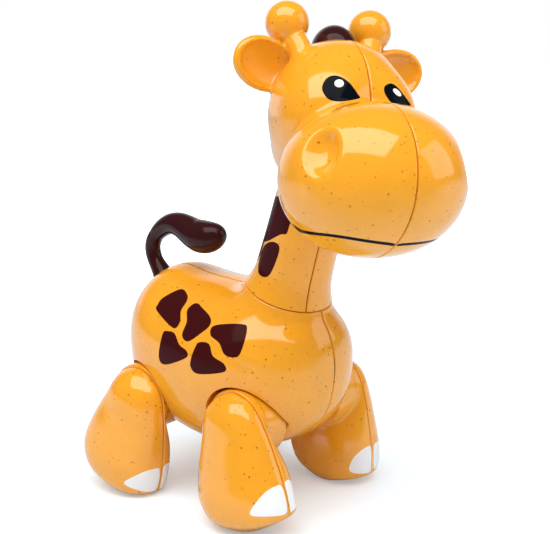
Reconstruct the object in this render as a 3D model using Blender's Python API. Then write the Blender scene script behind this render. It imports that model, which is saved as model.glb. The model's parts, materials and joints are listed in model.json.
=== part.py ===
"""Click-jointed toy giraffe: hollow moulded halves, turned on toothed click wheels.

Metres, +X towards the chest, +Y to the animal's left, +Z up. The body frame has its
origin midway between the hips, on the floor; the last step moves the whole toy so
that the world origin is the bottom centre of its bounding box.
"""
import math

import bmesh
import bpy
from mathutils import Matrix, Vector

# Clearances, walls and cutting overrun shared by the whole toy
SHELL_WALL = 0.0021
SEAM_GAP = 0.0003
RUNNING_GAP = 0.0003
FUSE_DEPTH = 0.0004
CUT_OVERRUN = 0.0700

# Click unit: one toothed wheel keyed on a hub, one spring finger, the same at six joints
TOOTH_COUNT = 24
WHEEL_RADIUS = 0.0054
TOOTH_DEPTH = 0.0008
WHEEL_THICKNESS = 0.0022
PLATE_THICKNESS = 0.0023
HUB_RADIUS = 0.0036
KEY_RADIUS = 0.0029
KEY_FLAT = 0.0021
FLANGE_RADIUS = 0.0042
FLANGE_THICKNESS = 0.0013
SPRING_STRIP = 0.0010
SPRING_CLEARANCE = 0.0005
SPRING_EYE_RADIUS = 0.0019
SPRING_SWEEP = math.radians(120)
HEAD_SPRING_TURN = math.radians(-90)
POST_RADIUS = 0.0010
SCREW_SHANK_RADIUS = 0.0012
SCREW_BORE_RADIUS = 0.0015
SCREW_LENGTH = 0.0060
SCREW_HEAD_THICKNESS = 0.0015
SCREW_SOCKET_RADIUS = 0.0014
SCREW_SOCKET_DEPTH = 0.0009
SCREW_BORE_SPARE = 0.0004
SPRING_STEPS = 6
KEY_SEGMENTS = 14
HUB_SEGMENTS = 18
EYE_SEGMENTS = 10
POST_SEGMENTS = 8
SCREW_SEGMENTS = 8
CREASE_ANGLE = math.radians(40)

# Body: a lofted barrel with a saddle behind the neck
BODY_LENGTH = 0.0740
BODY_FORWARD = 0.0010
BODY_HALF_WIDTH = 0.0242
WAIST_ABOVE_HIP = 0.0150
BODY_RISE = 0.0224
BODY_DROP = 0.0283
BODY_UPPER_SQUARENESS = 2.15
BODY_LOWER_SQUARENESS = 2.40
# One row a station, evenly turned from rump to chest: rise, drop and half-width shares
BODY_STATION_SHARES = (
    (0.000, 0.000, 0.000),
    (0.460, 0.320, 0.340),
    (0.770, 0.660, 0.640),
    (0.990, 0.860, 0.850),
    (0.915, 0.950, 0.955),
    (0.880, 1.000, 1.000),
    (0.840, 0.968, 0.960),
    (0.760, 0.860, 0.860),
    (0.650, 0.670, 0.680),
    (0.420, 0.370, 0.390),
    (0.000, 0.000, 0.000),
)
BODY_STATIONS = 16
BODY_SEGMENTS = 28
BODY_CAVITY_STATIONS = 10
BODY_CAVITY_SEGMENTS = 20

# Neck joint on the body, and the flared collar under it
NECK_BEHIND_CHEST = 0.0162
NECK_SEAT_RISE_SHARE = 0.875
NECK_LEAN = math.radians(19.0)
NECK_TURN_AT_REST = math.radians(-25.7)
COLLAR_RADIUS = 0.0126
COLLAR_FLARE = 0.0072
COLLAR_DEPTH = 0.0130
COLLAR_POWER = 1.4
COLLAR_STEPS = 5
COLLAR_SEGMENTS = 28

# Legs: hips, swing at rest and the lofted teardrop
HIP_BEHIND_CHEST = 0.0174
HIP_HEIGHT = 0.0288
HIP_POCKET_DEPTH = 0.0127
HIP_POCKET_CLEARANCE = 0.0008
HIP_DISC_SHARE = 0.5255
HIP_DISC_EDGE = 0.0066
HIP_SEGMENTS = 22
LEG_SPLIT_OUTWARD = 0.0107
LEG_CROWN_SHARE = 0.835
LEG_FRONT_SHARE = 0.7194
LEG_BACK_SHARE = 0.8163
LEG_OUTER_BULGE = 0.0112
LEG_INNER_BULGE = 0.0087
LEG_SQUARENESS = 2.26
LEG_STATIONS = 11
LEG_SEGMENTS = 8
LEG_CAVITY_STATIONS = 7
LEG_CAVITY_SEGMENTS = 6
LEG_WALL = 0.0020
LEG_CAVITY_SHARES = (0.38, 0.86)
HIP_DOME_STEPS = 3
HIP_DOME_ROUND = 0.55
SWING_FRONT_RIGHT = math.radians(15)
SWING_FRONT_LEFT = math.radians(0)
SWING_REAR_RIGHT = math.radians(-15)
SWING_REAR_LEFT = math.radians(0)
# One row a station from crown to sole: height, front, back, outer and inner bulge shares
LEG_STATION_SHARES = (
    (0.000, 0.180, -0.060, 0.000, 0.000),
    (0.027, 0.480, 0.300, 0.320, 0.120),
    (0.096, 0.640, 0.450, 0.540, 0.170),
    (0.203, 0.770, 0.590, 0.660, 0.240),
    (0.336, 0.870, 0.730, 0.730, 0.460),
    (0.470, 0.920, 0.860, 0.830, 0.800),
    (0.603, 0.970, 0.950, 0.920, 0.980),
    (0.724, 1.000, 1.000, 1.000, 1.000),
    (0.860, 0.985, 0.900, 0.960, 1.000),
    (0.925, 0.930, 0.720, 0.830, 0.950),
    (0.975, 0.510, 0.445, 0.580, 0.800),
    (1.000, 0.262, 0.232, 0.400, 0.640),
)

# Neck: a slightly tapered tube from the collar to the level joint under the head
NECK_LENGTH = 0.0310
NECK_RADIUS = 0.0112
NECK_TOP_RADIUS = 0.0102
NECK_FLARE_SHARE = 0.25
NECK_STATIONS = 9
NECK_SEGMENTS = 22

# Head, measured from the joint at the top of the neck
CRANIUM_FORWARD = 0.0096
CRANIUM_UP = 0.0212
CRANIUM_HALF_LENGTH = 0.0172
CRANIUM_HALF_WIDTH = 0.0177
CRANIUM_HALF_HEIGHT = 0.0196
CRANIUM_SQUARENESS = 2.1
CRANIUM_REAR_SHARE = 1.18
MUZZLE_FORWARD = 0.0315
MUZZLE_UP = 0.0063
MUZZLE_HALF_LENGTH = 0.0216
MUZZLE_HALF_WIDTH = 0.0240
MUZZLE_HALF_HEIGHT = 0.0193
MUZZLE_PITCH = math.radians(16)
MUZZLE_SQUARENESS = 2.1
HEAD_RINGS = 12
HEAD_SEGMENTS = 26
HEAD_CAVITY_RINGS = 8
HEAD_CAVITY_SEGMENTS = 16
THROAT_SPREAD = 0.0008
THROAT_WALL = 0.0014
THROAT_HEIGHT = 0.0130
THROAT_SQUARENESS = 2.4
THROAT_RINGS = 10
SPRING_BAY_LENGTH = 0.0170
SPRING_BAY_HALF_WIDTH = 0.0095
SPRING_BAY_TOP = 0.0080
NECK_RELIEF_RADIUS = 0.0150
NOSTRIL_PLACE_SHARES = (0.528, 0.825, 0.337)
NOSTRIL_HALF_WIDTH = 0.0052
NOSTRIL_HALF_HEIGHT = 0.0064
NOSTRIL_DEPTH = 0.0030
NOSTRIL_SINK = 0.0018
NOSTRIL_SQUARENESS = 2.0
NOSTRIL_WALL = 0.0016
NOSTRIL_TURN = math.radians(54)
NOSTRIL_LIFT = math.radians(22)
NOSTRIL_RINGS = 8
NOSTRIL_SEGMENTS = 14

# Horns, ears and tuft, placed back, inward and down from the cranium's middle, side and top
HORN_BALL_BACK = 0.0099
HORN_BALL_INWARD = 0.0053
HORN_BALL_RISE = 0.0032
HORN_BALL_RADIUS = 0.0058
HORN_FOOT_BACK = 0.0028
HORN_FOOT_INWARD = 0.0081
HORN_FOOT_DROP = 0.0063
HORN_STALK_RADIUS = 0.0031
HORN_FLARE_RADIUS = 0.0056
HORN_STALK_STEPS = 3
HORN_BALL_STEPS = 6
HORN_SEGMENTS = 14
EAR_BACK = 0.0076
EAR_OUTWARD = 0.0013
EAR_DROP = 0.0080
EAR_HALF_LENGTH = 0.0093
EAR_HALF_HEIGHT = 0.0070
EAR_HALF_THICKNESS = 0.0033
EAR_SCOOP_DEPTH = 0.0032
EAR_RIM = 0.0013
EAR_SQUARENESS = 2.1
EAR_LIFT = math.radians(16)
EAR_TOE = math.radians(6)
EAR_RINGS = 8
EAR_SEGMENTS = 14
TUFT_BACK = 0.0060
TUFT_DROP = 0.0032
TUFT_SQUARENESS = 2.0
TUFT_HALF_LENGTH = 0.0075
TUFT_HALF_WIDTH = 0.0058
TUFT_RISE = 0.0070
TUFT_ROOT_RADIUS = 0.0044
TUFT_ROOT_DEPTH = 0.0038
TUFT_RINGS = 8
TUFT_SEGMENTS = 16

# Mane: a ridge down the back of the neck
MANE_HALF_WIDTH = 0.0018
MANE_PROUD = 0.0011
MANE_SINK = 0.0011
MANE_START = 0.0060
MANE_END = 0.0265
MANE_STATIONS = 8
MANE_END_SHARE = 0.06
MANE_POWER = 0.35
MANE_SHOULDER_SHARE = 0.6

# Tail: a hooked rod with a round tip, on a stem through the rump
TAIL_AHEAD_OF_RUMP = 0.0068
TAIL_SEAT_RISE_SHARE = 0.7366
TAIL_STEM_LEAN = math.radians(-35)
TAIL_ROD_RADIUS = 0.0023
TAIL_TIP_RADIUS = 0.0043
TAIL_FOOT_RADIUS = 0.0041
TAIL_SPAN = 0.0222
TAIL_RISE = 0.0173
TAIL_SEAT_THICKNESS = 0.0024
TAIL_STEM_RADIUS = 0.0021
TAIL_STEM_END = 0.0010
TAIL_RING_RADIUS = 0.0042
TAIL_RING_THICKNESS = 0.0014
TAIL_GROOVE_DEPTH = 0.0006
TAIL_ROOM_DEPTH = 0.0064
TAIL_STATIONS = 20
TAIL_SEGMENTS = 10
TAIL_STEM_SEGMENTS = 12
# Centre line from root to tip: forward shares of the span, height shares of the rise
TAIL_ROUTE_SHARES = (
    (0.000, 0.000),
    (-0.060, 0.105),
    (-0.110, 0.210),
    (-0.180, 0.370),
    (-0.195, 0.540),
    (-0.145, 0.700),
    (-0.040, 0.870),
    (0.160, 0.990),
    (0.370, 0.965),
    (0.520, 0.865),
    (0.670, 0.770),
    (0.830, 0.765),
    (1.000, 0.850),
)
# Where along the tail the foot ends, the swell starts and ends, and the tip rounds off
TAIL_FOOT_SHARE = 0.14
TAIL_SWELL_SHARES = (0.45, 0.40)
TAIL_SWELL_POWER = 1.5
TAIL_TIP_SHARE = 0.86

# Finishes: colour, roughness
PLASTIC_ORANGE = ((0.955, 0.430, 0.045, 1.0), 0.16)
PLASTIC_BROWN = ((0.036, 0.006, 0.007, 1.0), 0.14)
ACETAL_WHITE = ((0.800, 0.790, 0.750, 1.0), 0.40)
ACETAL_GREY = ((0.350, 0.350, 0.360, 1.0), 0.45)
SCREW_STEEL = ((0.560, 0.560, 0.570, 1.0), 0.35)

RIGHT = -1
LEFT = 1


# Scene and materials
def clear_scene():
    for item in list(bpy.data.objects):
        bpy.data.objects.remove(item, do_unlink=True)


def finish(name, look, metallic=0.0):
    colour, roughness = look
    material = bpy.data.materials.new(name)
    material.use_nodes = True
    shader = material.node_tree.nodes["Principled BSDF"]
    shader.inputs["Base Color"].default_value = colour
    shader.inputs["Roughness"].default_value = roughness
    shader.inputs["Metallic"].default_value = metallic
    return material


def orange_plastic():
    return finish("orange_plastic", PLASTIC_ORANGE)


def brown_plastic():
    return finish("brown_plastic", PLASTIC_BROWN)


def wheel_plastic():
    return finish("wheel_plastic", ACETAL_WHITE)


def spring_plastic():
    return finish("spring_plastic", ACETAL_GREY)


def screw_steel():
    return finish("screw_steel", SCREW_STEEL, 1.0)


def joint_empty(name, parent, matrix):
    empty = bpy.data.objects.new(name, None)
    bpy.context.collection.objects.link(empty)
    empty.parent = parent
    empty.matrix_basis = matrix
    return empty


def dress(piece, parent, material):
    piece.data.materials.clear()
    piece.data.materials.append(material)
    piece.parent = parent
    piece.data.shade_smooth()
    piece.data.set_sharp_from_angle(angle=CREASE_ANGLE)
    return piece


# Mesh tools
def mesh_object(name, mesh_builder):
    mesh = bpy.data.meshes.new(name)
    bmesh.ops.recalc_face_normals(mesh_builder, faces=mesh_builder.faces)
    mesh_builder.to_mesh(mesh)
    mesh_builder.free()
    piece = bpy.data.objects.new(name, mesh)
    bpy.context.collection.objects.link(piece)
    return piece


def skin(name, rings):
    """Closed skin over rings of points; a ring of one point is a pole, an end ring is capped."""
    builder = bmesh.new()
    loops = [[builder.verts.new(point) for point in ring] for ring in rings]
    for first, second in zip(loops, loops[1:]):
        count = max(len(first), len(second))
        for i in range(count):
            j = (i + 1) % count
            if len(first) == 1:
                builder.faces.new((first[0], second[i], second[j]))
            elif len(second) == 1:
                builder.faces.new((first[i], second[0], first[j]))
            else:
                builder.faces.new((first[i], second[i], second[j], first[j]))
    for end in (loops[0], loops[-1]):
        if len(end) > 1:
            builder.faces.new(end)
    return mesh_object(name, builder)


def circle(radius, height, count):
    turns = [2 * math.pi * i / count for i in range(count)]
    return [Vector((radius * math.cos(a), radius * math.sin(a), height)) for a in turns]


def turned(name, profile, count):
    """Solid turned about Z from (radius, height) pairs that start and end on the axis."""
    rings = []
    for radius, height in profile:
        on_axis = radius == 0
        rings.append([Vector((0, 0, height))] if on_axis else circle(radius, height, count))
    return skin(name, rings)


def drum(name, radius, low, high, count):
    return turned(name, ((0, low), (radius, low), (radius, high), (0, high)), count)


def prism(name, outline, low, high):
    rings = [[Vector((x, y, height)) for x, y in outline] for height in (low, high)]
    return skin(name, rings)


def block(name, low, high):
    corners = ((low[0], low[1]), (high[0], low[1]), (high[0], high[1]), (low[0], high[1]))
    return prism(name, corners, low[2], high[2])


def place(piece, matrix):
    """Moves a solid's mesh; a mirroring matrix keeps the faces turned outwards."""
    piece.data.transform(matrix)
    if matrix.determinant() < 0:
        piece.data.flip_normals()
    return piece


def combine(piece, other, operation):
    """Boolean of two solids, kept as a plain mesh; the other solid is used up."""
    modifier = piece.modifiers.new(operation, "BOOLEAN")
    modifier.operation = operation
    modifier.solver = "EXACT"
    modifier.object = other
    graph = bpy.context.evaluated_depsgraph_get()
    result = bpy.data.meshes.new_from_object(piece.evaluated_get(graph))
    piece.modifiers.clear()
    piece.data = result
    bpy.data.objects.remove(other, do_unlink=True)
    return piece


def cut(piece, other):
    return combine(piece, other, "DIFFERENCE")


def fuse(piece, other):
    return combine(piece, other, "UNION")


def common(piece, other):
    return combine(piece, other, "INTERSECT")


def copy_of(piece, name):
    twin = bpy.data.objects.new(name, piece.data.copy())
    bpy.context.collection.objects.link(twin)
    return twin


def left_half(piece):
    """The part of a solid to the left of the plane y = 0, half the seam gap away from it."""
    low = (-CUT_OVERRUN, SEAM_GAP / 2, -CUT_OVERRUN)
    high = (CUT_OVERRUN, CUT_OVERRUN, CUT_OVERRUN + CUT_OVERRUN)
    return common(piece, block("left_side", low, high))


def mirrored(piece, name):
    """Twin of a left half, mirrored in the plane y = 0."""
    return place(copy_of(piece, name), Matrix.Scale(-1, 4, (0, 1, 0)))


def smooth_table(rows, share):
    """Catmull-Rom reading of a table of rows at a place from 0 to 1."""
    last = len(rows) - 1
    row_place = share * last
    start = min(int(row_place), last - 1)
    t = row_place - start
    before = rows[max(start - 1, 0)]
    here = rows[start]
    after = rows[start + 1]
    beyond = rows[min(start + 2, last)]
    values = []
    for p0, p1, p2, p3 in zip(before, here, after, beyond):
        line = p2 - p0
        bend = 2 * p0 - 5 * p1 + 4 * p2 - p3
        twist = 3 * p1 - p0 - 3 * p2 + p3
        values.append(p1 + (line * t + bend * t * t + twist * t * t * t) / 2)
    return values


def between(first, second, share):
    return first + (second - first) * share


def rounded(value, squareness):
    """A cosine or sine bent towards a squarer outline."""
    return math.copysign(abs(value) ** (2 / squareness), value)


def superellipsoid(name, half_sizes, squareness, rings, segments, inset=0.0, rear_share=1.0):
    """Solid with poles up and down; the rear share stretches the half behind the middle."""
    a, b, c = (size - inset for size in half_sizes)
    skins = [[Vector((0, 0, -c))]]
    for i in range(1, rings):
        lift = math.pi * (i / rings - 1 / 2)
        reach = rounded(math.cos(lift), squareness)
        height = c * rounded(math.sin(lift), squareness)
        ring = []
        for j in range(segments):
            turn = 2 * math.pi * j / segments
            x = a * reach * rounded(math.cos(turn), squareness)
            if x < 0:
                x = x * rear_share
            y = b * reach * rounded(math.sin(turn), squareness)
            ring.append(Vector((x, y, height)))
        skins.append(ring)
    skins.append([Vector((0, 0, c))])
    return skin(name, skins)


# Click unit. Its frame stands on the outer face of the housing's plate, +Z into the housing
def wheel_floor():
    return PLATE_THICKNESS + RUNNING_GAP


def wheel_top():
    return wheel_floor() + WHEEL_THICKNESS


def keyed_outline(radius, flat):
    """Circle with two flats across X."""
    return [(max(-flat, min(flat, point.x)), point.y) for point in circle(radius, 0, KEY_SEGMENTS)]


def click_wheel(name):
    outline = []
    for tooth in range(TOOTH_COUNT):
        valley = 2 * math.pi * tooth / TOOTH_COUNT
        crest = valley + math.pi / TOOTH_COUNT
        low = WHEEL_RADIUS - TOOTH_DEPTH
        outline.append((low * math.cos(valley), low * math.sin(valley)))
        outline.append((WHEEL_RADIUS * math.cos(crest), WHEEL_RADIUS * math.sin(crest)))
    wheel = prism(name, outline, wheel_floor(), wheel_top())
    key = keyed_outline(KEY_RADIUS + RUNNING_GAP, KEY_FLAT + RUNNING_GAP)
    return cut(wheel, prism("key_cut", key, 0, CUT_OVERRUN))


def strip_radius():
    return WHEEL_RADIUS + SPRING_CLEARANCE


def spring_eye_place():
    radius = strip_radius() + SPRING_EYE_RADIUS
    turn = SPRING_SWEEP
    return Matrix.Translation((radius * math.cos(turn), radius * math.sin(turn), 0))


def click_spring(name):
    """Curved finger: a nose in one valley of the wheel, a strip round it, an eye on a post."""
    nose_radius = WHEEL_RADIUS - TOOTH_DEPTH + RUNNING_GAP
    nose_turn = math.pi / TOOTH_COUNT
    strip = strip_radius()
    inner = [(nose_radius, 0.0), (strip, nose_turn)]
    outer = [(strip + SPRING_STRIP, -nose_turn / 2), (strip, -nose_turn)]
    for i in range(1, SPRING_STEPS + 1):
        share = i / SPRING_STEPS
        drift = (SPRING_EYE_RADIUS - SPRING_STRIP / 2) * share * share
        inner.append((strip + drift, SPRING_SWEEP * share))
        outer.insert(0, (strip + SPRING_STRIP + drift, SPRING_SWEEP * share))
    outline = [(r * math.cos(a), r * math.sin(a)) for r, a in inner + outer]
    low = wheel_floor() + RUNNING_GAP
    high = wheel_top() - RUNNING_GAP
    spring = prism(name, outline, low, high)
    eye = drum("eye", SPRING_EYE_RADIUS, low - FUSE_DEPTH, high + FUSE_DEPTH, EYE_SEGMENTS)
    spring = fuse(spring, place(eye, spring_eye_place()))
    hole = drum("eye_hole", POST_RADIUS + RUNNING_GAP, 0, CUT_OVERRUN, EYE_SEGMENTS)
    return cut(spring, place(hole, spring_eye_place()))


def spring_post(name):
    """Post on the plate that carries the spring's eye."""
    post = drum(name, POST_RADIUS, PLATE_THICKNESS - FUSE_DEPTH, wheel_top(), POST_SEGMENTS)
    return place(post, spring_eye_place())


def hub_hole(name):
    """Hole through the plate, from outside into the wheel's room."""
    return drum(name, HUB_RADIUS + RUNNING_GAP, -CUT_OVERRUN, wheel_top(), HUB_SEGMENTS)


def keyed_hub(name, root, flanged):
    """Hub from the moving piece through the plate, with the wheel's key on its end."""
    shoulder = wheel_floor() - RUNNING_GAP / 2
    top = wheel_top() + RUNNING_GAP / 2
    flange_floor = wheel_top() + RUNNING_GAP
    key_top = flange_floor + FUSE_DEPTH if flanged else top
    hub = drum(name, HUB_RADIUS, -root, shoulder, HUB_SEGMENTS)
    hub = fuse(hub, prism("key", keyed_outline(KEY_RADIUS, KEY_FLAT), shoulder - FUSE_DEPTH, key_top))
    if flanged:
        flange_top = flange_floor + FLANGE_THICKNESS
        hub = fuse(hub, drum("flange", FLANGE_RADIUS, flange_floor, flange_top, HUB_SEGMENTS))
    return hub


def hub_screw(name):
    """Pan-head screw that holds the wheel on a hip hub."""
    seat = wheel_top() + RUNNING_GAP
    top = seat + SCREW_HEAD_THICKNESS
    rim = SCREW_HEAD_THICKNESS / 3
    profile = (
        (0, seat - SCREW_LENGTH),
        (SCREW_SHANK_RADIUS, seat - SCREW_LENGTH),
        (SCREW_SHANK_RADIUS, seat),
        (FLANGE_RADIUS, seat),
        (FLANGE_RADIUS, top - rim),
        (FLANGE_RADIUS - rim, top),
        (SCREW_SOCKET_RADIUS, top),
        (SCREW_SOCKET_RADIUS, top - SCREW_SOCKET_DEPTH),
        (0, top - SCREW_SOCKET_DEPTH),
    )
    return turned(name, profile, SCREW_SEGMENTS)


# Body
def rump():
    return BODY_FORWARD - BODY_LENGTH / 2


def chest():
    return BODY_FORWARD + BODY_LENGTH / 2


def waist():
    return HIP_HEIGHT + WAIST_ABOVE_HIP


def body_loft(name, inset, stations, segments):
    """Barrel lofted through the station table; an inset one is the hollow inside it."""
    rings = [[Vector((rump() + inset, 0, waist()))]]
    for i in range(1, stations):
        share = i / stations
        rise, drop, width = smooth_table(BODY_STATION_SHARES, share)
        along = (1 - math.cos(math.pi * share)) / 2
        x = between(rump() + inset, chest() - inset, along)
        ring = []
        for j in range(segments):
            turn = 2 * math.pi * j / segments
            above = math.sin(turn) > 0
            squareness = BODY_UPPER_SQUARENESS if above else BODY_LOWER_SQUARENESS
            height = BODY_RISE * rise if above else BODY_DROP * drop
            z = waist() + (height - inset) * rounded(math.sin(turn), squareness)
            y = (BODY_HALF_WIDTH * width - inset) * rounded(math.cos(turn), squareness)
            ring.append(Vector((x, y, z)))
        rings.append(ring)
    rings.append([Vector((chest() - inset, 0, waist()))])
    return skin(name, rings)


def neck_base_matrix():
    height = waist() + BODY_RISE * NECK_SEAT_RISE_SHARE
    spot = Matrix.Translation((chest() - NECK_BEHIND_CHEST, 0, height))
    return spot @ Matrix.Rotation(NECK_LEAN, 4, "Y")


def turned_neck_matrix():
    return neck_base_matrix() @ Matrix.Rotation(NECK_TURN_AT_REST, 4, "Z")


def collar(name, inset, top):
    """Flared collar under the neck, turned about the leaning neck axis."""
    profile = [(0, -top)]
    for i in range(COLLAR_STEPS + 1):
        depth = between(top, COLLAR_DEPTH, i / COLLAR_STEPS)
        spread = COLLAR_FLARE * (depth / COLLAR_DEPTH) ** COLLAR_POWER
        profile.append((COLLAR_RADIUS + spread - inset, -depth))
    profile.append((0, -COLLAR_DEPTH - inset))
    return place(turned(name, profile, COLLAR_SEGMENTS), neck_base_matrix())


def into_housing(matrix):
    """Click unit frame whose +Z points down the given frame's axis."""
    return matrix @ Matrix.Rotation(math.pi, 4, "X")


def hip_forward():
    return chest() - BODY_FORWARD - HIP_BEHIND_CHEST


def hip_floor():
    return BODY_HALF_WIDTH - HIP_POCKET_DEPTH


def hip_disc_radius():
    return hip_forward() * HIP_DISC_SHARE


def leg_crown():
    return hip_disc_radius() * LEG_CROWN_SHARE


def leg_split():
    return hip_floor() + LEG_SPLIT_OUTWARD


def hip_unit_matrix(forward, height, side):
    spot = Matrix.Translation((forward, side * hip_floor(), height))
    return spot @ Matrix.Rotation(side * math.pi / 2, 4, "X")


def body_hip_unit(end, side):
    return hip_unit_matrix(end * hip_forward(), HIP_HEIGHT, side)


def leg_hip_unit(side):
    return hip_unit_matrix(0, 0, side)


def pocket_radius():
    return hip_disc_radius() + HIP_POCKET_CLEARANCE


def hip_room_top():
    """End of the room that a hip's wheel and screw head need inside the body."""
    return wheel_top() + SCREW_HEAD_THICKNESS + RUNNING_GAP + RUNNING_GAP


def half_step(count):
    """Turn that sets a drum's edges astride the plane of symmetry, not on it."""
    return Matrix.Rotation(math.pi / count, 4, "Z")


def body_cavity():
    """Hollow of the body, kept clear of the hip cups, the neck plate and the tail's seat."""
    cavity = body_loft("body_cavity", SHELL_WALL, BODY_CAVITY_STATIONS, BODY_CAVITY_SEGMENTS)
    cavity = fuse(cavity, collar("collar_cavity", SHELL_WALL, PLATE_THICKNESS))
    for end in (1, -1):
        for side in (RIGHT, LEFT):
            cup_radius = pocket_radius() + SHELL_WALL
            cup = drum("cup", cup_radius, -CUT_OVERRUN, PLATE_THICKNESS, HIP_SEGMENTS)
            cavity = cut(cavity, place(cup, body_hip_unit(end, side)))
            room_floor = wheel_floor() - RUNNING_GAP / 2
            room = drum("wheel_room", strip_radius(), room_floor, hip_room_top(), HUB_SEGMENTS)
            cavity = fuse(cavity, place(room, body_hip_unit(end, side)))
    room_radius = TAIL_RING_RADIUS + RUNNING_GAP
    room = drum("tail_room", room_radius, -TAIL_ROOM_DEPTH, 0, HUB_SEGMENTS)
    cavity = fuse(cavity, place(room, tail_matrix() @ half_step(HUB_SEGMENTS)))
    seat_radius = room_radius + SHELL_WALL
    seat = drum("tail_seat", seat_radius, -TAIL_SEAT_THICKNESS, CUT_OVERRUN, HIP_SEGMENTS)
    cavity = cut(cavity, place(seat, tail_matrix() @ half_step(HIP_SEGMENTS)))
    neck_hole = drum("neck_hole", HUB_RADIUS + RUNNING_GAP, -COLLAR_DEPTH, COLLAR_DEPTH, HUB_SEGMENTS)
    return fuse(cavity, place(neck_hole, neck_base_matrix()))


def hip_spring_turn(end, side):
    """Puts a hip's spring post straight above the hip and its nose towards the middle."""
    over = -end * side
    turn = Matrix.Rotation(side * math.pi / 2 - over * SPRING_SWEEP, 4, "Z")
    return turn @ Matrix.Scale(over, 4, (0, 1, 0))


def body_halves():
    shell = fuse(body_loft("body_shell_left", 0, BODY_STATIONS, BODY_SEGMENTS), collar("collar_outer", 0, 0))
    shell = cut(left_half(shell), body_cavity())
    shell = cut(shell, tail_opening())
    for end in (1, -1):
        unit = body_hip_unit(end, LEFT)
        pocket = drum("pocket", pocket_radius(), -CUT_OVERRUN, 0, HIP_SEGMENTS)
        shell = cut(shell, place(pocket, unit))
        shell = cut(shell, place(hub_hole("hip_hole"), unit))
        shell = fuse(shell, place(spring_post("hip_post"), unit @ hip_spring_turn(end, LEFT)))
    right = mirrored(shell, "body_shell_right")
    right = fuse(right, place(spring_post("neck_post"), into_housing(turned_neck_matrix())))
    return shell, right


# Legs. The leg frame has its origin on the hip axis, in the middle of the body
def leg_loft(name, side, outward, inset, stations, segments):
    """One half of the teardrop, outward or inward of the split plane; an inset one is a cutter."""
    front_reach = hip_forward() * LEG_FRONT_SHARE
    back_reach = hip_forward() * LEG_BACK_SHARE
    bulge_limit = LEG_OUTER_BULGE if outward > 0 else LEG_INNER_BULGE
    plane = leg_split() + outward * SEAM_GAP / 2
    rings = []
    for i in range(stations + 1):
        share = i / stations
        if inset:
            share = between(LEG_CAVITY_SHARES[0], LEG_CAVITY_SHARES[1], share)
        down, front, back, outer, inner = smooth_table(LEG_STATION_SHARES, share)
        z = between(leg_crown(), -HIP_HEIGHT, down)
        if share == 0:
            rings.append([Vector((front_reach * front, side * plane, z))])
            continue
        bulge = bulge_limit * (outer if outward > 0 else inner) - inset
        front_edge = front_reach * front - inset
        rear_edge = -back_reach * back + inset
        middle = (front_edge + rear_edge) / 2
        reach = (front_edge - rear_edge) / 2
        ring = []
        for j in range(segments + 1):
            turn = math.pi * j / segments
            x = middle + reach * rounded(math.cos(turn), LEG_SQUARENESS)
            y = plane + outward * bulge * rounded(math.sin(turn), LEG_SQUARENESS)
            ring.append(Vector((x, side * y, z)))
        if inset:
            beyond = side * (plane - outward * LEG_OUTER_BULGE)
            ring.append(Vector((rear_edge, beyond, z)))
            ring.append(Vector((front_edge, beyond, z)))
        rings.append(ring)
    return skin(name, rings)


def leg_outer(name, side):
    shell = leg_loft(name, side, 1, 0, LEG_STATIONS, LEG_SEGMENTS)
    cavity = leg_loft("leg_cavity", side, 1, LEG_WALL, LEG_CAVITY_STATIONS, LEG_CAVITY_SEGMENTS)
    return cut(shell, cavity)


def hip_dome(name, side):
    """Turned shoulder from the hip disc out to the split plane."""
    face = hip_floor() + RUNNING_GAP
    edge = face + HIP_DISC_EDGE
    plane = leg_split() - SEAM_GAP / 2
    radius = hip_disc_radius()
    profile = [(0, face), (radius, face), (radius, edge)]
    for i in range(1, HIP_DOME_STEPS + 1):
        share = i / HIP_DOME_STEPS
        drop = 1 - math.sqrt(1 - share * share * HIP_DOME_ROUND)
        profile.append((radius * (1 - drop), between(edge, plane, share)))
    profile.append((0, plane))
    return place(turned(name, profile, HIP_SEGMENTS), Matrix.Rotation(-side * math.pi / 2, 4, "X"))


def leg_inner(name, side):
    shell = leg_loft(name, side, -1, 0, LEG_STATIONS, LEG_SEGMENTS)
    cavity = leg_loft("leg_cavity", side, -1, LEG_WALL, LEG_CAVITY_STATIONS, LEG_CAVITY_SEGMENTS)
    shell = fuse(cut(shell, cavity), hip_dome("hip_dome", side))
    unit = leg_hip_unit(side)
    shell = fuse(shell, place(keyed_hub("hub", RUNNING_GAP + FUSE_DEPTH, False), unit))
    bore_end = wheel_top() + RUNNING_GAP - SCREW_LENGTH - SCREW_BORE_SPARE
    bore = drum("screw_bore", SCREW_BORE_RADIUS, bore_end, CUT_OVERRUN, SCREW_SEGMENTS)
    return cut(shell, place(bore, unit))


# Neck
def neck_section(share, inset):
    """Radius and tilt of one section; the top one lies level under the head."""
    base_flare = (COLLAR_RADIUS - NECK_RADIUS) * max(0.0, 1 - share / NECK_FLARE_SHARE) ** 2
    taper = between(NECK_RADIUS, NECK_TOP_RADIUS, math.sin(math.pi / 2 * share))
    return taper + base_flare - inset, -NECK_LEAN * share


def neck_tube(name, inset, low, high, stations):
    rings = []
    for i in range(stations + 1):
        along = between(low, high, i / stations)
        radius, tilt = neck_section(along / NECK_LENGTH, inset)
        turn = Matrix.Rotation(tilt, 3, "Y")
        centre = Vector((0, 0, along))
        rings.append([centre + turn @ point for point in circle(radius, 0, NECK_SEGMENTS)])
    return skin(name, rings)


def neck_top_matrix():
    """Frame of the head joint in the neck's own frame."""
    return Matrix.Translation((0, 0, NECK_LENGTH)) @ Matrix.Rotation(-NECK_LEAN, 4, "Y")


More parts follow.
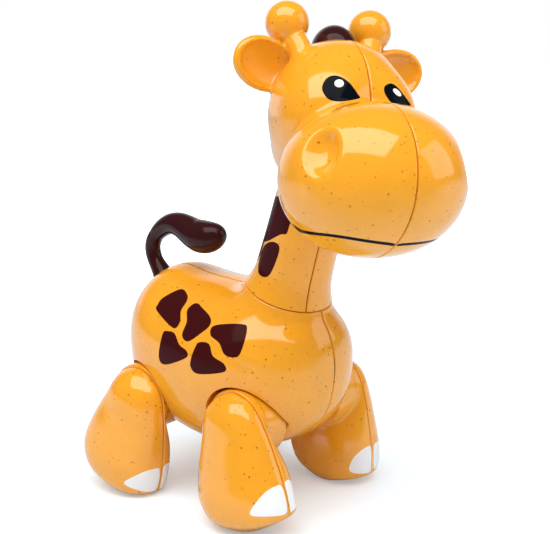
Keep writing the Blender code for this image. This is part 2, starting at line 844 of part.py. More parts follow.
def neck_halves():
    gap = RUNNING_GAP / 2
    tube = neck_tube("neck_shell_left", 0, gap, NECK_LENGTH - gap, NECK_STATIONS)
    cavity = neck_tube("neck_cavity", SHELL_WALL, SHELL_WALL, NECK_LENGTH - SHELL_WALL, NECK_STATIONS // 2)
    tube = cut(tube, cavity)
    base = keyed_hub("base_hub", FUSE_DEPTH, True)
    tube = fuse(tube, place(base, Matrix.Rotation(math.pi, 4, "X")))
    tube = fuse(tube, place(keyed_hub("top_hub", FUSE_DEPTH, True), neck_top_matrix()))
    tube = cut(tube, mane_solid("mane_groove", RUNNING_GAP))
    left = left_half(tube)
    return left, mirrored(left, "neck_shell_right")


def mane_solid(name, gap):
    """Ridge down the back of the neck; the gap widens it into its groove."""
    rings = []
    for i in range(MANE_STATIONS + 1):
        share = i / MANE_STATIONS
        along = between(MANE_START - gap, MANE_END + gap, share)
        radius, tilt = neck_section(along / NECK_LENGTH, 0)
        turn = Matrix.Rotation(tilt, 3, "Y")
        height = math.sin(math.pi * min(max(share, MANE_END_SHARE), 1 - MANE_END_SHARE))
        half = MANE_HALF_WIDTH + gap
        inner = -(radius - MANE_SINK - gap)
        outer = -(radius + MANE_PROUD * height ** MANE_POWER)
        shoulder = between(inner, outer, MANE_SHOULDER_SHARE)
        section = (
            (inner, half),
            (shoulder, half),
            (outer, half / 2),
            (outer, -half / 2),
            (shoulder, -half),
            (inner, -half),
        )
        centre = Vector((0, 0, along))
        rings.append([centre + turn @ Vector((x, y, 0)) for x, y in section])
    return skin(name, rings)


# Head. Its frame stands on the neck joint, +X to the nose
def cranium(name, inset, rings, segments):
    sizes = (CRANIUM_HALF_LENGTH, CRANIUM_HALF_WIDTH, CRANIUM_HALF_HEIGHT)
    solid = superellipsoid(name, sizes, CRANIUM_SQUARENESS, rings, segments, inset, CRANIUM_REAR_SHARE)
    return place(solid, Matrix.Translation((CRANIUM_FORWARD, 0, CRANIUM_UP)))


def muzzle(name, inset, rings, segments):
    sizes = (MUZZLE_HALF_LENGTH, MUZZLE_HALF_WIDTH, MUZZLE_HALF_HEIGHT)
    solid = superellipsoid(name, sizes, MUZZLE_SQUARENESS, rings, segments, inset)
    spot = Matrix.Translation((MUZZLE_FORWARD, 0, MUZZLE_UP))
    return place(solid, spot @ Matrix.Rotation(-MUZZLE_PITCH, 4, "Y"))


def on_cranium(back, outward, rise, side):
    """Point given from the middle of the cranium, its widest side and its top."""
    top = CRANIUM_UP + CRANIUM_HALF_HEIGHT
    return Vector((CRANIUM_FORWARD - back, side * (CRANIUM_HALF_WIDTH + outward), top + rise))


def horn(name, side):
    """Stalk with a flared foot and a ball on top, turned in one profile."""
    foot = on_cranium(HORN_FOOT_BACK, -HORN_FOOT_INWARD, -HORN_FOOT_DROP, side)
    ball = on_cranium(HORN_BALL_BACK, -HORN_BALL_INWARD, HORN_BALL_RISE, side)
    length = (ball - foot).length
    profile = [(0, -HORN_STALK_RADIUS), (HORN_FLARE_RADIUS, -HORN_STALK_RADIUS)]
    for i in range(HORN_STALK_STEPS):
        share = i / HORN_STALK_STEPS
        spread = (HORN_FLARE_RADIUS - HORN_STALK_RADIUS) * (1 - share) ** 2
        profile.append((HORN_STALK_RADIUS + spread, (length - HORN_BALL_RADIUS) * share))
    start = -math.acos(HORN_STALK_RADIUS / HORN_BALL_RADIUS)
    for i in range(HORN_BALL_STEPS):
        lift = between(start, math.pi / 2, i / HORN_BALL_STEPS)
        profile.append((HORN_BALL_RADIUS * math.cos(lift), length + HORN_BALL_RADIUS * math.sin(lift)))
    profile.append((0, length + HORN_BALL_RADIUS))
    aim = (ball - foot).to_track_quat("Z", "Y").to_matrix().to_4x4()
    return place(turned(name, profile, HORN_SEGMENTS), Matrix.Translation(foot) @ aim)


def ear(name, side):
    """Oval ear with a scooped front."""
    sizes = (EAR_HALF_THICKNESS, EAR_HALF_LENGTH, EAR_HALF_HEIGHT)
    solid = superellipsoid(name, sizes, EAR_SQUARENESS, EAR_RINGS, EAR_SEGMENTS)
    scoop_sizes = (EAR_SCOOP_DEPTH, EAR_HALF_LENGTH - EAR_RIM, EAR_HALF_HEIGHT - EAR_RIM)
    scoop = superellipsoid("scoop", scoop_sizes, EAR_SQUARENESS, EAR_RINGS, EAR_SEGMENTS)
    solid = cut(solid, place(scoop, Matrix.Translation((EAR_HALF_THICKNESS / 2, 0, 0))))
    turn = Matrix.Rotation(side * EAR_LIFT, 4, "X") @ Matrix.Rotation(-side * EAR_TOE, 4, "Z")
    return place(solid, Matrix.Translation(on_cranium(EAR_BACK, EAR_OUTWARD, -EAR_DROP, side)) @ turn)


def nostril(name, side, wall):
    """Shallow dimple square to the muzzle's cheek; a wall grows it to what the hollow leaves."""
    sizes = (NOSTRIL_DEPTH, NOSTRIL_HALF_WIDTH, NOSTRIL_HALF_HEIGHT)
    solid = superellipsoid(name, sizes, NOSTRIL_SQUARENESS, NOSTRIL_RINGS, NOSTRIL_SEGMENTS, -wall)
    forward, outward, rise = NOSTRIL_PLACE_SHARES
    x = MUZZLE_FORWARD + MUZZLE_HALF_LENGTH * forward
    z = MUZZLE_UP + MUZZLE_HALF_HEIGHT * rise
    spot = Matrix.Translation((x, side * MUZZLE_HALF_WIDTH * outward, z))
    turn = Matrix.Rotation(side * NOSTRIL_TURN, 4, "Z") @ Matrix.Rotation(-NOSTRIL_LIFT, 4, "Y")
    return place(solid, spot @ turn @ Matrix.Translation((NOSTRIL_DEPTH - NOSTRIL_SINK, 0, 0)))


def tuft_place():
    return Vector((CRANIUM_FORWARD - TUFT_BACK, 0, CRANIUM_UP + CRANIUM_HALF_HEIGHT - TUFT_DROP))


def tuft_solid(name, gap):
    """Dome of hair on a narrower root that the head halves close round."""
    sizes = (TUFT_HALF_LENGTH, TUFT_HALF_WIDTH, TUFT_RISE)
    dome = superellipsoid(name, sizes, TUFT_SQUARENESS, TUFT_RINGS, TUFT_SEGMENTS, -gap)
    low = (-CUT_OVERRUN, -CUT_OVERRUN, -CUT_OVERRUN)
    dome = cut(dome, block("tuft_floor", low, (CUT_OVERRUN, CUT_OVERRUN, -gap)))
    root_floor = -TUFT_ROOT_DEPTH - gap
    root = drum("tuft_root", TUFT_ROOT_RADIUS + gap, root_floor, TUFT_RISE / 2, TUFT_SEGMENTS)
    return place(fuse(dome, root), Matrix.Translation(tuft_place()))


def throat(name, inset):
    """Dome that carries the neck's line on into the head."""
    radius = NECK_TOP_RADIUS + THROAT_SPREAD
    sizes = (radius, radius, THROAT_HEIGHT)
    return superellipsoid(name, sizes, THROAT_SQUARENESS, THROAT_RINGS, NECK_SEGMENTS, inset)


def head_solid():
    """Outside of cranium, muzzle and throat, flat over the neck."""
    solid = cranium("head_shell_left", 0, HEAD_RINGS, HEAD_SEGMENTS)
    solid = fuse(solid, muzzle("muzzle_solid", 0, HEAD_RINGS, HEAD_SEGMENTS))
    solid = fuse(solid, throat("throat", 0))
    relief = drum("relief", NECK_RELIEF_RADIUS, -CUT_OVERRUN, RUNNING_GAP / 2, NECK_SEGMENTS)
    return cut(solid, relief)


def head_cavity():
    """Hollow of the head, with a bay for the spring, kept clear of the plate over the neck."""
    cavity = cranium("head_cavity", SHELL_WALL, HEAD_CAVITY_RINGS, HEAD_CAVITY_SEGMENTS)
    cavity = fuse(cavity, muzzle("muzzle_cavity", SHELL_WALL, HEAD_CAVITY_RINGS, HEAD_CAVITY_SEGMENTS))
    cavity = fuse(cavity, throat("throat_cavity", THROAT_WALL))
    bay_high = (SPRING_BAY_LENGTH, SPRING_BAY_HALF_WIDTH, SPRING_BAY_TOP)
    cavity = fuse(cavity, block("spring_bay", (0, -SPRING_BAY_HALF_WIDTH, 0), bay_high))
    plate_radius = NECK_RELIEF_RADIUS + SHELL_WALL
    plate = drum("plate", plate_radius, -CUT_OVERRUN, PLATE_THICKNESS, NECK_SEGMENTS)
    cavity = cut(cavity, plate)
    for side in (RIGHT, LEFT):
        cavity = cut(cavity, nostril("nostril_wall", side, NOSTRIL_WALL))
    return cavity


def head_halves():
    shell = cut(left_half(head_solid()), head_cavity())
    shell = fuse(shell, horn("horn", LEFT))
    shell = fuse(shell, ear("ear", LEFT))
    shell = cut(shell, nostril("nostril", LEFT, 0))
    shell = cut(shell, hub_hole("neck_hole"))
    left = cut(shell, tuft_solid("tuft_recess", RUNNING_GAP))
    right = mirrored(left, "head_shell_right")
    return fuse(left, place(spring_post("head_post"), head_spring_turn())), right


def head_spring_turn():
    return Matrix.Rotation(HEAD_SPRING_TURN, 4, "Z")


# Tail. Its frame stands on the seat in the rump, +Z along the stem's axis
def tail_place():
    return Vector((rump() + TAIL_AHEAD_OF_RUMP, 0, waist() + BODY_RISE * TAIL_SEAT_RISE_SHARE))


def tail_matrix():
    return Matrix.Translation(tail_place()) @ Matrix.Rotation(TAIL_STEM_LEAN, 4, "Y")


def tail_stem_matrix():
    return tail_matrix() @ half_step(TAIL_STEM_SEGMENTS)


def tail_opening():
    """Stepped opening: a round seat for the foot and a hole for the stem."""
    through = TAIL_STEM_RADIUS + RUNNING_GAP
    seat = TAIL_FOOT_RADIUS + RUNNING_GAP
    deep = -TAIL_SEAT_THICKNESS - TAIL_RING_THICKNESS
    profile = ((0, deep), (through, deep), (through, 0), (seat, 0), (seat, CUT_OVERRUN), (0, CUT_OVERRUN))
    return place(turned("tail_opening", profile, TAIL_STEM_SEGMENTS), tail_stem_matrix())


def tail_radius(share):
    foot = max(0.0, 1 - share / TAIL_FOOT_SHARE) ** 2
    swell = min(1.0, max(0.0, (share - TAIL_SWELL_SHARES[0]) / TAIL_SWELL_SHARES[1]))
    radius = between(TAIL_ROD_RADIUS, TAIL_FOOT_RADIUS, foot)
    radius = between(radius, TAIL_TIP_RADIUS, swell ** TAIL_SWELL_POWER)
    if share > TAIL_TIP_SHARE:
        past = (share - TAIL_TIP_SHARE) / (1 - TAIL_TIP_SHARE)
        radius = radius * math.sqrt(1 - past * past)
    return radius


def tail_hook(name):
    """Rod along the hooked centre line, flared at the foot, swelling into a rounded tip."""
    points = []
    for i in range(TAIL_STATIONS + 1):
        forward, up = smooth_table(TAIL_ROUTE_SHARES, i / TAIL_STATIONS)
        points.append(Vector((TAIL_SPAN * forward, 0, TAIL_RISE * up)))
    across = Vector((0, 1, 0))
    stem = Vector((math.sin(TAIL_STEM_LEAN), 0, math.cos(TAIL_STEM_LEAN)))
    rings = []
    for i in range(TAIL_STATIONS):
        along = (points[i + 1] - points[i - 1]).normalized() if i else stem
        normal = across.cross(along)
        centre = points[i] if i else stem * RUNNING_GAP
        radius = tail_radius(i / TAIL_STATIONS)
        ring = []
        for j in range(TAIL_SEGMENTS):
            turn = 2 * math.pi * j / TAIL_SEGMENTS
            ring.append(centre + radius * (math.cos(turn) * across + math.sin(turn) * normal))
        rings.append(ring)
    rings.append([points[-1]])
    return skin(name, rings)


def tail_piece(name):
    hook = place(tail_hook(name), Matrix.Translation(tail_place()))
    groove_radius = TAIL_STEM_RADIUS - TAIL_GROOVE_DEPTH
    groove_top = -TAIL_SEAT_THICKNESS
    groove_floor = groove_top - TAIL_RING_THICKNESS - 2 * RUNNING_GAP
    profile = (
        (0, groove_floor - TAIL_STEM_END),
        (TAIL_STEM_RADIUS, groove_floor - TAIL_STEM_END),
        (TAIL_STEM_RADIUS, groove_floor),
        (groove_radius, groove_floor),
        (groove_radius, groove_top),
        (TAIL_STEM_RADIUS, groove_top),
        (TAIL_STEM_RADIUS, RUNNING_GAP + FUSE_DEPTH),
        (0, RUNNING_GAP + FUSE_DEPTH),
    )
    return fuse(hook, place(turned("tail_stem", profile, TAIL_STEM_SEGMENTS), tail_stem_matrix()))


def tail_ring(name):
    """Push-on ring in the stem's groove, inside the body."""
    top = -TAIL_SEAT_THICKNESS - RUNNING_GAP
    low = top - TAIL_RING_THICKNESS
    ring = drum(name, TAIL_RING_RADIUS, low, top, HUB_SEGMENTS)
    bore_radius = TAIL_STEM_RADIUS - TAIL_GROOVE_DEPTH + RUNNING_GAP
    ring = cut(ring, drum("ring_bore", bore_radius, -CUT_OVERRUN, CUT_OVERRUN, TAIL_STEM_SEGMENTS))
    return place(ring, tail_stem_matrix())


# Assembly
def add_neck_and_head(toy, orange, brown, white, grey):
    neck_joint = joint_empty("neck_joint", toy, turned_neck_matrix())
    for shell in neck_halves():
        dress(shell, neck_joint, orange)
    dress(mane_solid("neck_mane", 0), neck_joint, brown)
    base_unit = Matrix.Rotation(math.pi, 4, "X")
    dress(place(click_wheel("neck_base_click_wheel"), base_unit), neck_joint, white)
    base_spring = place(click_spring("neck_base_click_spring"), into_housing(turned_neck_matrix()))
    dress(base_spring, toy, grey)
    dress(place(click_wheel("neck_top_click_wheel"), neck_top_matrix()), neck_joint, white)

    head_joint = joint_empty("head_joint", neck_joint, neck_top_matrix())
    for shell in head_halves():
        dress(shell, head_joint, orange)
    dress(tuft_solid("head_tuft", 0), head_joint, brown)
    dress(place(click_spring("head_click_spring"), head_spring_turn()), head_joint, grey)


def add_leg(toy, name, end, side, swing, orange, white, grey, steel):
    hip = Matrix.Translation((end * hip_forward(), 0, HIP_HEIGHT)) @ Matrix.Rotation(-swing, 4, "Y")
    hip_joint = joint_empty(name + "_hip_joint", toy, hip)
    dress(leg_outer(name + "_leg_outer_shell", side), hip_joint, orange)
    dress(leg_inner(name + "_leg_inner_shell", side), hip_joint, orange)
    dress(place(click_wheel(name + "_click_wheel"), leg_hip_unit(side)), hip_joint, white)
    dress(place(hub_screw(name + "_hub_screw"), leg_hip_unit(side)), hip_joint, steel)
    spring_unit = body_hip_unit(end, side) @ hip_spring_turn(end, side)
    dress(place(click_spring(name + "_click_spring"), spring_unit), toy, grey)


def add_tail(toy, brown, white):
    tail_joint = joint_empty("tail_joint", toy, tail_matrix())
    back = tail_matrix().inverted()
    dress(place(tail_piece("tail"), back), tail_joint, brown)
    dress(place(tail_ring("tail_retaining_ring"), back), tail_joint, white)


def stand_on_origin(toy):
    """Moves the whole toy so that the bottom centre of its bounding box is the origin."""
    bpy.context.view_layer.update()
    points = []
    for piece in toy.children_recursive:
        if piece.type == "MESH":
            points.extend(piece.matrix_world @ vertex.co for vertex in piece.data.vertices)
    low = [min(point[axis] for point in points) for axis in range(3)]
    high = [max(point[axis] for point in points) for axis in range(3)]
    toy.location = (-(low[0] + high[0]) / 2, -(low[1] + high[1]) / 2, -low[2])
    bpy.context.view_layer.update()


def build():
    clear_scene()
    orange = orange_plastic()
    brown = brown_plastic()
    white = wheel_plastic()
    grey = spring_plastic()
    steel = screw_steel()
    toy = joint_empty("toy_frame", None, Matrix.Identity(4))
    for shell in body_halves():
        dress(shell, toy, orange)
    add_neck_and_head(toy, orange, brown, white, grey)
    legs = (
        ("front_right", 1, RIGHT, SWING_FRONT_RIGHT),
        ("front_left", 1, LEFT, SWING_FRONT_LEFT),
        ("rear_right", -1, RIGHT, SWING_REAR_RIGHT),
        ("rear_left", -1, LEFT, SWING_REAR_LEFT),
    )
    for name, end, side, swing in legs:
        add_leg(toy, name, end, side, swing, orange, white, grey, steel)
    add_tail(toy, brown, white)
    stand_on_origin(toy)
    return toy


build()
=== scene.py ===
"""Looks of a click-jointed toy giraffe: smooth moulded halves, printed spots, eyes and hooves.

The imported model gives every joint's place. Each moulded piece is a smooth skin over a rule that
tells inside from outside, split into its halves with a softened seam, and painted where a print
lies on it. Metres, +X towards the chest, +Y to the animal's left, +Z up.
"""
import json
import logging
import math
from dataclasses import dataclass, field
from enum import Enum
from functools import lru_cache
from typing import Callable, Optional, Sequence

import bmesh
import bpy
import numpy as np
from mathutils import Matrix, Vector


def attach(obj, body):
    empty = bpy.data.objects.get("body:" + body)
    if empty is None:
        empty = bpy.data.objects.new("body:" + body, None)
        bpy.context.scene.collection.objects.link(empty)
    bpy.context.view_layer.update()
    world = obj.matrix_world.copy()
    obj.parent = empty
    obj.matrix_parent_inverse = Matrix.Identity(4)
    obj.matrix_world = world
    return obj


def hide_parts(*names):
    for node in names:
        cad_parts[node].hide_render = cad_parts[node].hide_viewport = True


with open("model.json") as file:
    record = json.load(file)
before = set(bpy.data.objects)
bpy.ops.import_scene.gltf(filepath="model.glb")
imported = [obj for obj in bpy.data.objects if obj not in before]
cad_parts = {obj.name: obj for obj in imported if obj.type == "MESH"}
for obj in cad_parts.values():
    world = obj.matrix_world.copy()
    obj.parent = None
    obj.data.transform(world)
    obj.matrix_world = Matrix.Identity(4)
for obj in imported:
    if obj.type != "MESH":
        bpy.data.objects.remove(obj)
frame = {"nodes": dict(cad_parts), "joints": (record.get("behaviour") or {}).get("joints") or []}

LOG = logging.getLogger("toy")
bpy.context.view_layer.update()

SEAM_GAP = 0.0003
RUNNING_GAP = 0.0003
SHELL_WALL = 0.0021
EDGE_RADIUS = 0.00035
OVERRUN = 0.0700
FAR = 0.0020
CREASE = math.radians(38)
ROUND_SIDES = 72

# Numbers of the netting: the smallest that count, and how a net settles on its surface
FUZZ = 1e-9
MERGE = 1e-7
WELD = 1e-6
TINY = 1e-6
PROBE = 2e-5
LEAST_SLOPE = 1e-3
MOVE_SHARE = 0.7
RELAX_SHARES = (0.5, 0.5, 0.4, 0.0, 0.0)
EDGE_SHARES = (0.0, 0.06, 0.22, 0.5, 1.0)
HOLLOW_STEPS = 2.0
CURVE_PLACES = 400

# Directions of a frame, and a point of the left halves' seam
UP = Vector((0, 0, 1))
LEFT = Vector((0, 1, 0))
SEAM = Vector((0, SEAM_GAP / 2, 0))
MIRROR = Matrix.Scale(-1, 4, (0, 1, 0))

# Short names of types
Numbers = np.ndarray
Rule = Callable[[Numbers], Numbers]
Pair = tuple[float, float]
Triple = tuple[float, float, float]
Piece = bpy.types.Object
Material = bpy.types.Material
Socket = bpy.types.NodeSocket


class Side(Enum):
    """Which half of the toy a piece belongs to; the value is the sign of Y."""

    RIGHT = -1
    LEFT = 1


class Ink(Enum):
    """Printed colours; the value is the name of the mesh attribute that bounds the print."""

    BROWN = "print_brown"
    DARK = "print_dark"
    WHITE = "print_white"


# Rules: each gives a number below zero inside a form and above zero outside it
def union(first: Numbers, second: Numbers, fillet: float) -> Numbers:
    """Joins two forms with a fillet of about the given size.

    Args:
        first: Values of one form's rule.
        second: Values of the other form's rule.
        fillet: Size of the fillet in metres.

    Returns:
        Values of the joined form's rule.
    """
    share = np.clip(0.5 + (second - first) / (2 * fillet), 0, 1)
    return second + (first - second) * share - fillet * share * (1 - share)


def subtract(form: Numbers, cutter: Numbers, fillet: float) -> Numbers:
    """Takes one form out of another and softens the edge.

    Args:
        form: Values of the form's rule.
        cutter: Values of the rule that is taken out.
        fillet: Size of the softened edge in metres.

    Returns:
        Values of the remaining form's rule.
    """
    return -union(-form, cutter, fillet)


def into(points: Numbers, matrix: Matrix) -> Numbers:
    """Points as a frame sees them.

    Args:
        points: Points, one a row.
        matrix: The frame, a turn and a place.

    Returns:
        The same points in that frame.
    """
    turn = np.array(matrix.to_3x3())
    return (points - np.array(matrix.translation)) @ turn


def out_of(points: Numbers, matrix: Matrix) -> Numbers:
    """Points of a frame, as the world sees them; the reverse of into."""
    turn = np.array(matrix.to_3x3())
    return points @ turn.T + np.array(matrix.translation)


def egg(points: Numbers, sizes: Sequence[float], squareness: float, rear_share: float = 1.0) -> Numbers:
    """Rule of a rounded form about the origin.

    Args:
        points: Points in the form's own frame.
        sizes: Half sizes along X, Y and Z.
        squareness: 2 for an ellipsoid, more for a squarer form.
        rear_share: How much longer the half at negative X is.

    Returns:
        Values of the rule.
    """
    halves = np.tile(np.array(sizes, float), (len(points), 1))
    halves[:, 0] = np.where(points[:, 0] < 0, sizes[0] * rear_share, sizes[0])
    ratio = ((np.abs(points) / halves) ** squareness).sum(1) ** (1 / squareness)
    return np.linalg.norm(points, axis=1) * (1 - 1 / np.maximum(ratio, TINY))


def rod(points: Numbers, start: Vector, end: Vector, radius: float) -> Numbers:
    """Rule of a round-ended rod between two points.

    Args:
        points: Points, one a row.
        start: Middle of one rounded end.
        end: Middle of the other.
        radius: Radius of the rod.

    Returns:
        Values of the rule.
    """
    first = np.array(start)
    line = np.array(end) - first
    share = np.clip((points - first) @ line / (line @ line), 0, 1)
    return np.linalg.norm(points - first - share[:, None] * line, axis=1) - radius


def section(across: Numbers, up: Numbers, wide: Numbers, high: Numbers, squareness: Numbers) -> Numbers:
    """Rule of a squared oval section, measured from its middle.

    Args:
        across: Distances across.
        up: Distances up.
        wide: Half widths.
        high: Half heights.
        squareness: Squareness of the outline.

    Returns:
        Values of the rule, about true distances near the outline.
    """
    ratio = ((np.abs(across) / wide) ** squareness + (np.abs(up) / high) ** squareness) ** (1 / squareness)
    return np.hypot(across, up) * (1 - 1 / np.maximum(ratio, TINY))


def table_curves(rows: Sequence[Sequence[float]], count: int = CURVE_PLACES) -> tuple[Numbers, Numbers]:
    """Smooth curves through the columns of a table of shares.

    Args:
        rows: Rows of the table, evenly spaced.
        count: How many places the curves are read at.

    Returns:
        The places from 0 to 1, and one row of values for each place.
    """
    table = np.array(rows, float)
    padded = np.vstack([table[:1], table, table[-1:]])
    places = np.linspace(0, 1, count)
    spot = places * (len(table) - 1)
    start = np.minimum(spot.astype(int), len(table) - 2)
    t = (spot - start)[:, None]
    p0, p1, p2, p3 = (padded[start + k] for k in range(4))
    bend = 2 * p0 - 5 * p1 + 4 * p2 - p3
    twist = 3 * p1 - p0 - 3 * p2 + p3
    return places, p1 + ((p2 - p0) * t + bend * t**2 + twist * t**3) / 2


@lru_cache(maxsize=None)
def soft_curves(rows: tuple[tuple[float, ...], ...], passes: int) -> tuple[Numbers, Numbers]:
    """Smooth curves through a table, evened out by small passes that leave both ends in place.

    Args:
        rows: Rows of the table, evenly spaced.
        passes: How many times the curves are evened out.

    Returns:
        The places from 0 to 1, and one row of values for each place.
    """
    places, curves = table_curves(rows)
    for _ in range(passes):
        curves[1:-1] = (curves[:-2] + 2 * curves[1:-1] + curves[2:]) / 4
    return places, curves


def read_curves(curves: tuple[Numbers, Numbers], places: Numbers) -> list[Numbers]:
    """Reads every column of smooth curves at the given places from 0 to 1."""
    return [np.interp(places, curves[0], column) for column in curves[1].T]


# Skins: a mesh over a rule, then its halves
def net_over(values: Numbers, low: Numbers, step: float) -> tuple[Numbers, Numbers]:
    """Net of four-sided faces round the region where sampled values are below zero.

    Args:
        values: The rule's values on a grid.
        low: The grid's lowest corner.
        step: The grid's spacing.

    Returns:
        Points of the net, and the four point numbers of each face, turned outwards.
    """
    inside = values < 0
    cells = tuple(size - 1 for size in values.shape)
    total = np.zeros(cells + (3,))
    hits = np.zeros(cells)
    for axis in range(3):
        others = [a for a in range(3) if a != axis]
        first = np.take(values, range(cells[axis]), axis)
        second = np.take(values, range(1, cells[axis] + 1), axis)
        crossed = (first < 0) != (second < 0)
        spread = np.where(crossed, first - second, 1.0)
        share = np.where(crossed, first / spread, 0.0)
        for one in (0, 1):
            for two in (0, 1):
                window = [slice(None)] * 3
                window[others[0]] = slice(one, one + cells[others[0]])
                window[others[1]] = slice(two, two + cells[others[1]])
                hit = crossed[tuple(window)]
                hits += hit
                total[..., axis] += share[tuple(window)]
                total[..., others[0]] += hit * one
                total[..., others[1]] += hit * two
    active = hits > 0
    number = -np.ones(cells, int)
    number[active] = np.arange(active.sum())
    corner = np.argwhere(active)
    points = low + step * (corner + total[active] / hits[active][:, None])
    faces = []
    for axis in range(3):
        u, v = ((1, 2), (2, 0), (0, 1))[axis]
        first = np.take(inside, range(cells[axis]), axis)
        second = np.take(inside, range(1, cells[axis] + 1), axis)
        spots = np.argwhere(first != second)
        keep = (spots[:, u] > 0) & (spots[:, v] > 0) & (spots[:, u] < cells[u]) & (spots[:, v] < cells[v])
        spots = spots[keep]
        ring = []
        for du, dv in ((1, 1), (0, 1), (0, 0), (1, 0)):
            cell = spots.copy()
            cell[:, u] -= du
            cell[:, v] -= dv
            ring.append(number[cell[:, 0], cell[:, 1], cell[:, 2]])
        quads = np.stack(ring, 1)
        outward = first[spots[:, 0], spots[:, 1], spots[:, 2]]
        quads[~outward] = quads[~outward][:, ::-1]
        faces.append(quads)
    return points, np.concatenate(faces)


def slope(rule: Rule, points: Numbers) -> Numbers:
    """Gradient of a rule, by small steps each way.

    Args:
        rule: The rule.
        points: Where it is read, one point a row.

    Returns:
        The gradient at each point.
    """
    columns = []
    for axis in range(3):
        shift = np.zeros(3)
        shift[axis] = PROBE
        columns.append((rule(points + shift) - rule(points - shift)) / (2 * PROBE))
    return np.stack(columns, 1)


def relax(points: Numbers, quads: Numbers, share: float) -> Numbers:
    """Moves each point part of the way to the middle of its neighbours.

    Args:
        points: Points of a net.
        quads: The four point numbers of each face.
        share: How far each point moves, from 0 to 1.

    Returns:
        The moved points.
    """
    total = np.zeros_like(points)
    count = np.zeros(len(points))
    for a, b in ((0, 1), (1, 2), (2, 3), (3, 0)):
        for start, end in ((a, b), (b, a)):
            for axis in range(3):
                total[:, axis] += np.bincount(quads[:, start], points[quads[:, end], axis], len(points))
            count += np.bincount(quads[:, start], minlength=len(points))
    middle = total / np.maximum(count, 1)[:, None]
    return points + (middle - points) * share


def placed(name: str, data: bpy.types.ID) -> Piece:
    """New object that holds the given data, linked to the scene."""
    item = bpy.data.objects.new(name, data)
    bpy.context.scene.collection.objects.link(item)
    return item


def net_piece(name: str, rule: Rule, low: Sequence[float], high: Sequence[float], step: float) -> Piece:
    """Builds a smooth net over a rule, with its points brought exactly onto the surface.

    Args:
        name: Name of the object.
        rule: The form's rule.
        low: Lowest corner of the space that holds the form.
        high: Highest corner of that space.
        step: Spacing of the net.

    Returns:
        The new piece.
    """
    axes = [np.arange(a - step, b + 2 * step, step) for a, b in zip(low, high)]
    grid = np.stack(np.meshgrid(*axes, indexing="ij"), -1)
    values = np.stack([rule(slab.reshape(-1, 3)).reshape(slab.shape[:2]) for slab in grid])
    values[np.abs(values) < FUZZ] = FUZZ
    points, quads = net_over(values, np.array([axis[0] for axis in axes]), step)
    for share in RELAX_SHARES:
        points = relax(points, quads, share)
        gradient = slope(rule, points)
        size = np.maximum((gradient**2).sum(1), LEAST_SLOPE)
        move = -(rule(points) / size)[:, None] * gradient
        length = np.linalg.norm(move, axis=1)
        points = points + move * np.minimum(1, step * MOVE_SHARE / np.maximum(length, FUZZ))[:, None]
    mesh = bpy.data.meshes.new(name)
    mesh.from_pydata(points.tolist(), [], quads.tolist())
    return placed(name, mesh)


def trim(piece: Piece, rule: Rule, spot: Vector, away: Vector) -> None:
    """Cuts a closed piece flat, rounds the new edge and closes the cut.

    Args:
        piece: The piece to cut.
        rule: The rule that its skin lies on.
        spot: A point on the cutting plane.
        away: Unit normal of the plane, towards the side that stays.
    """
    work = bmesh.new()
    work.from_mesh(piece.data)
    edge = EDGE_RADIUS
    for share in EDGE_SHARES:
        geometry = work.verts[:] + work.edges[:] + work.faces[:]
        height = spot + away * edge * share
        bmesh.ops.bisect_plane(work, geom=geometry, dist=MERGE, plane_co=height, plane_no=away)
    near = [v for v in work.verts if -edge < (v.co - spot).dot(away) < edge]
    if near:
        places = np.array([v.co for v in near])
        gradient = slope(rule, places)
        gradient -= (gradient @ np.array(away))[:, None] * np.array(away)
        gradient /= np.maximum(np.linalg.norm(gradient, axis=1), TINY)[:, None]
        depth = np.clip((places - np.array(spot)) @ np.array(away), 0, edge)
        inset = edge - np.sqrt(np.maximum(edge**2 - (edge - depth) ** 2, 0))
        for vertex, move in zip(near, -gradient * inset[:, None]):
            vertex.co += Vector(move)
    geometry = work.verts[:] + work.edges[:] + work.faces[:]
    bmesh.ops.bisect_plane(work, geom=geometry, dist=MERGE, plane_co=spot, plane_no=away, clear_inner=True)
    rim = [e for e in work.edges if e.is_boundary]
    caps = bmesh.ops.holes_fill(work, edges=rim, sides=0)["faces"]
    bmesh.ops.triangulate(work, faces=caps)
    bmesh.ops.recalc_face_normals(work, faces=work.faces)
    work.to_mesh(piece.data)
    work.free()


def turned(name: str, profile: Sequence[Pair], place: Matrix, sides: int = ROUND_SIDES) -> Piece:
    """Closed solid turned about a frame's Z.

    Args:
        name: Name of the object.
        profile: Radius and height pairs that start and end on the axis.
        place: Where it stands.
        sides: Sides of the turned solid.

    Returns:
        The new object, with its place in its mesh.
    """
    work = bmesh.new()
    rings = []
    for radius, height in profile:
        if radius == 0:
            rings.append([work.verts.new((0, 0, height))])
            continue
        turns = [2 * math.pi * i / sides for i in range(sides)]
        rings.append([work.verts.new((radius * math.cos(a), radius * math.sin(a), height)) for a in turns])
    for low, high in zip(rings, rings[1:]):
        for i in range(sides):
            j = (i + 1) % sides
            corners = [low[i % len(low)], low[j % len(low)], high[j % len(high)], high[i % len(high)]]
            work.faces.new(list(dict.fromkeys(corners)))
    bmesh.ops.recalc_face_normals(work, faces=work.faces)
    mesh = bpy.data.meshes.new(name)
    work.to_mesh(mesh)
    work.free()
    mesh.transform(place)
    return placed(name, mesh)


def drum(name: str, radius: float, low: float, high: float, place: Matrix, sides: int = ROUND_SIDES) -> Piece:
    """Plain round solid along a frame's Z, from one height to another."""
    return turned(name, ((0, low), (radius, low), (radius, high), (0, high)), place, sides)


def settle(piece: Piece) -> None:
    """Turns a piece with its modifiers into a plain mesh."""
    graph = bpy.context.evaluated_depsgraph_get()
    result = bpy.data.meshes.new_from_object(piece.evaluated_get(graph))
    piece.modifiers.clear()
    piece.data = result


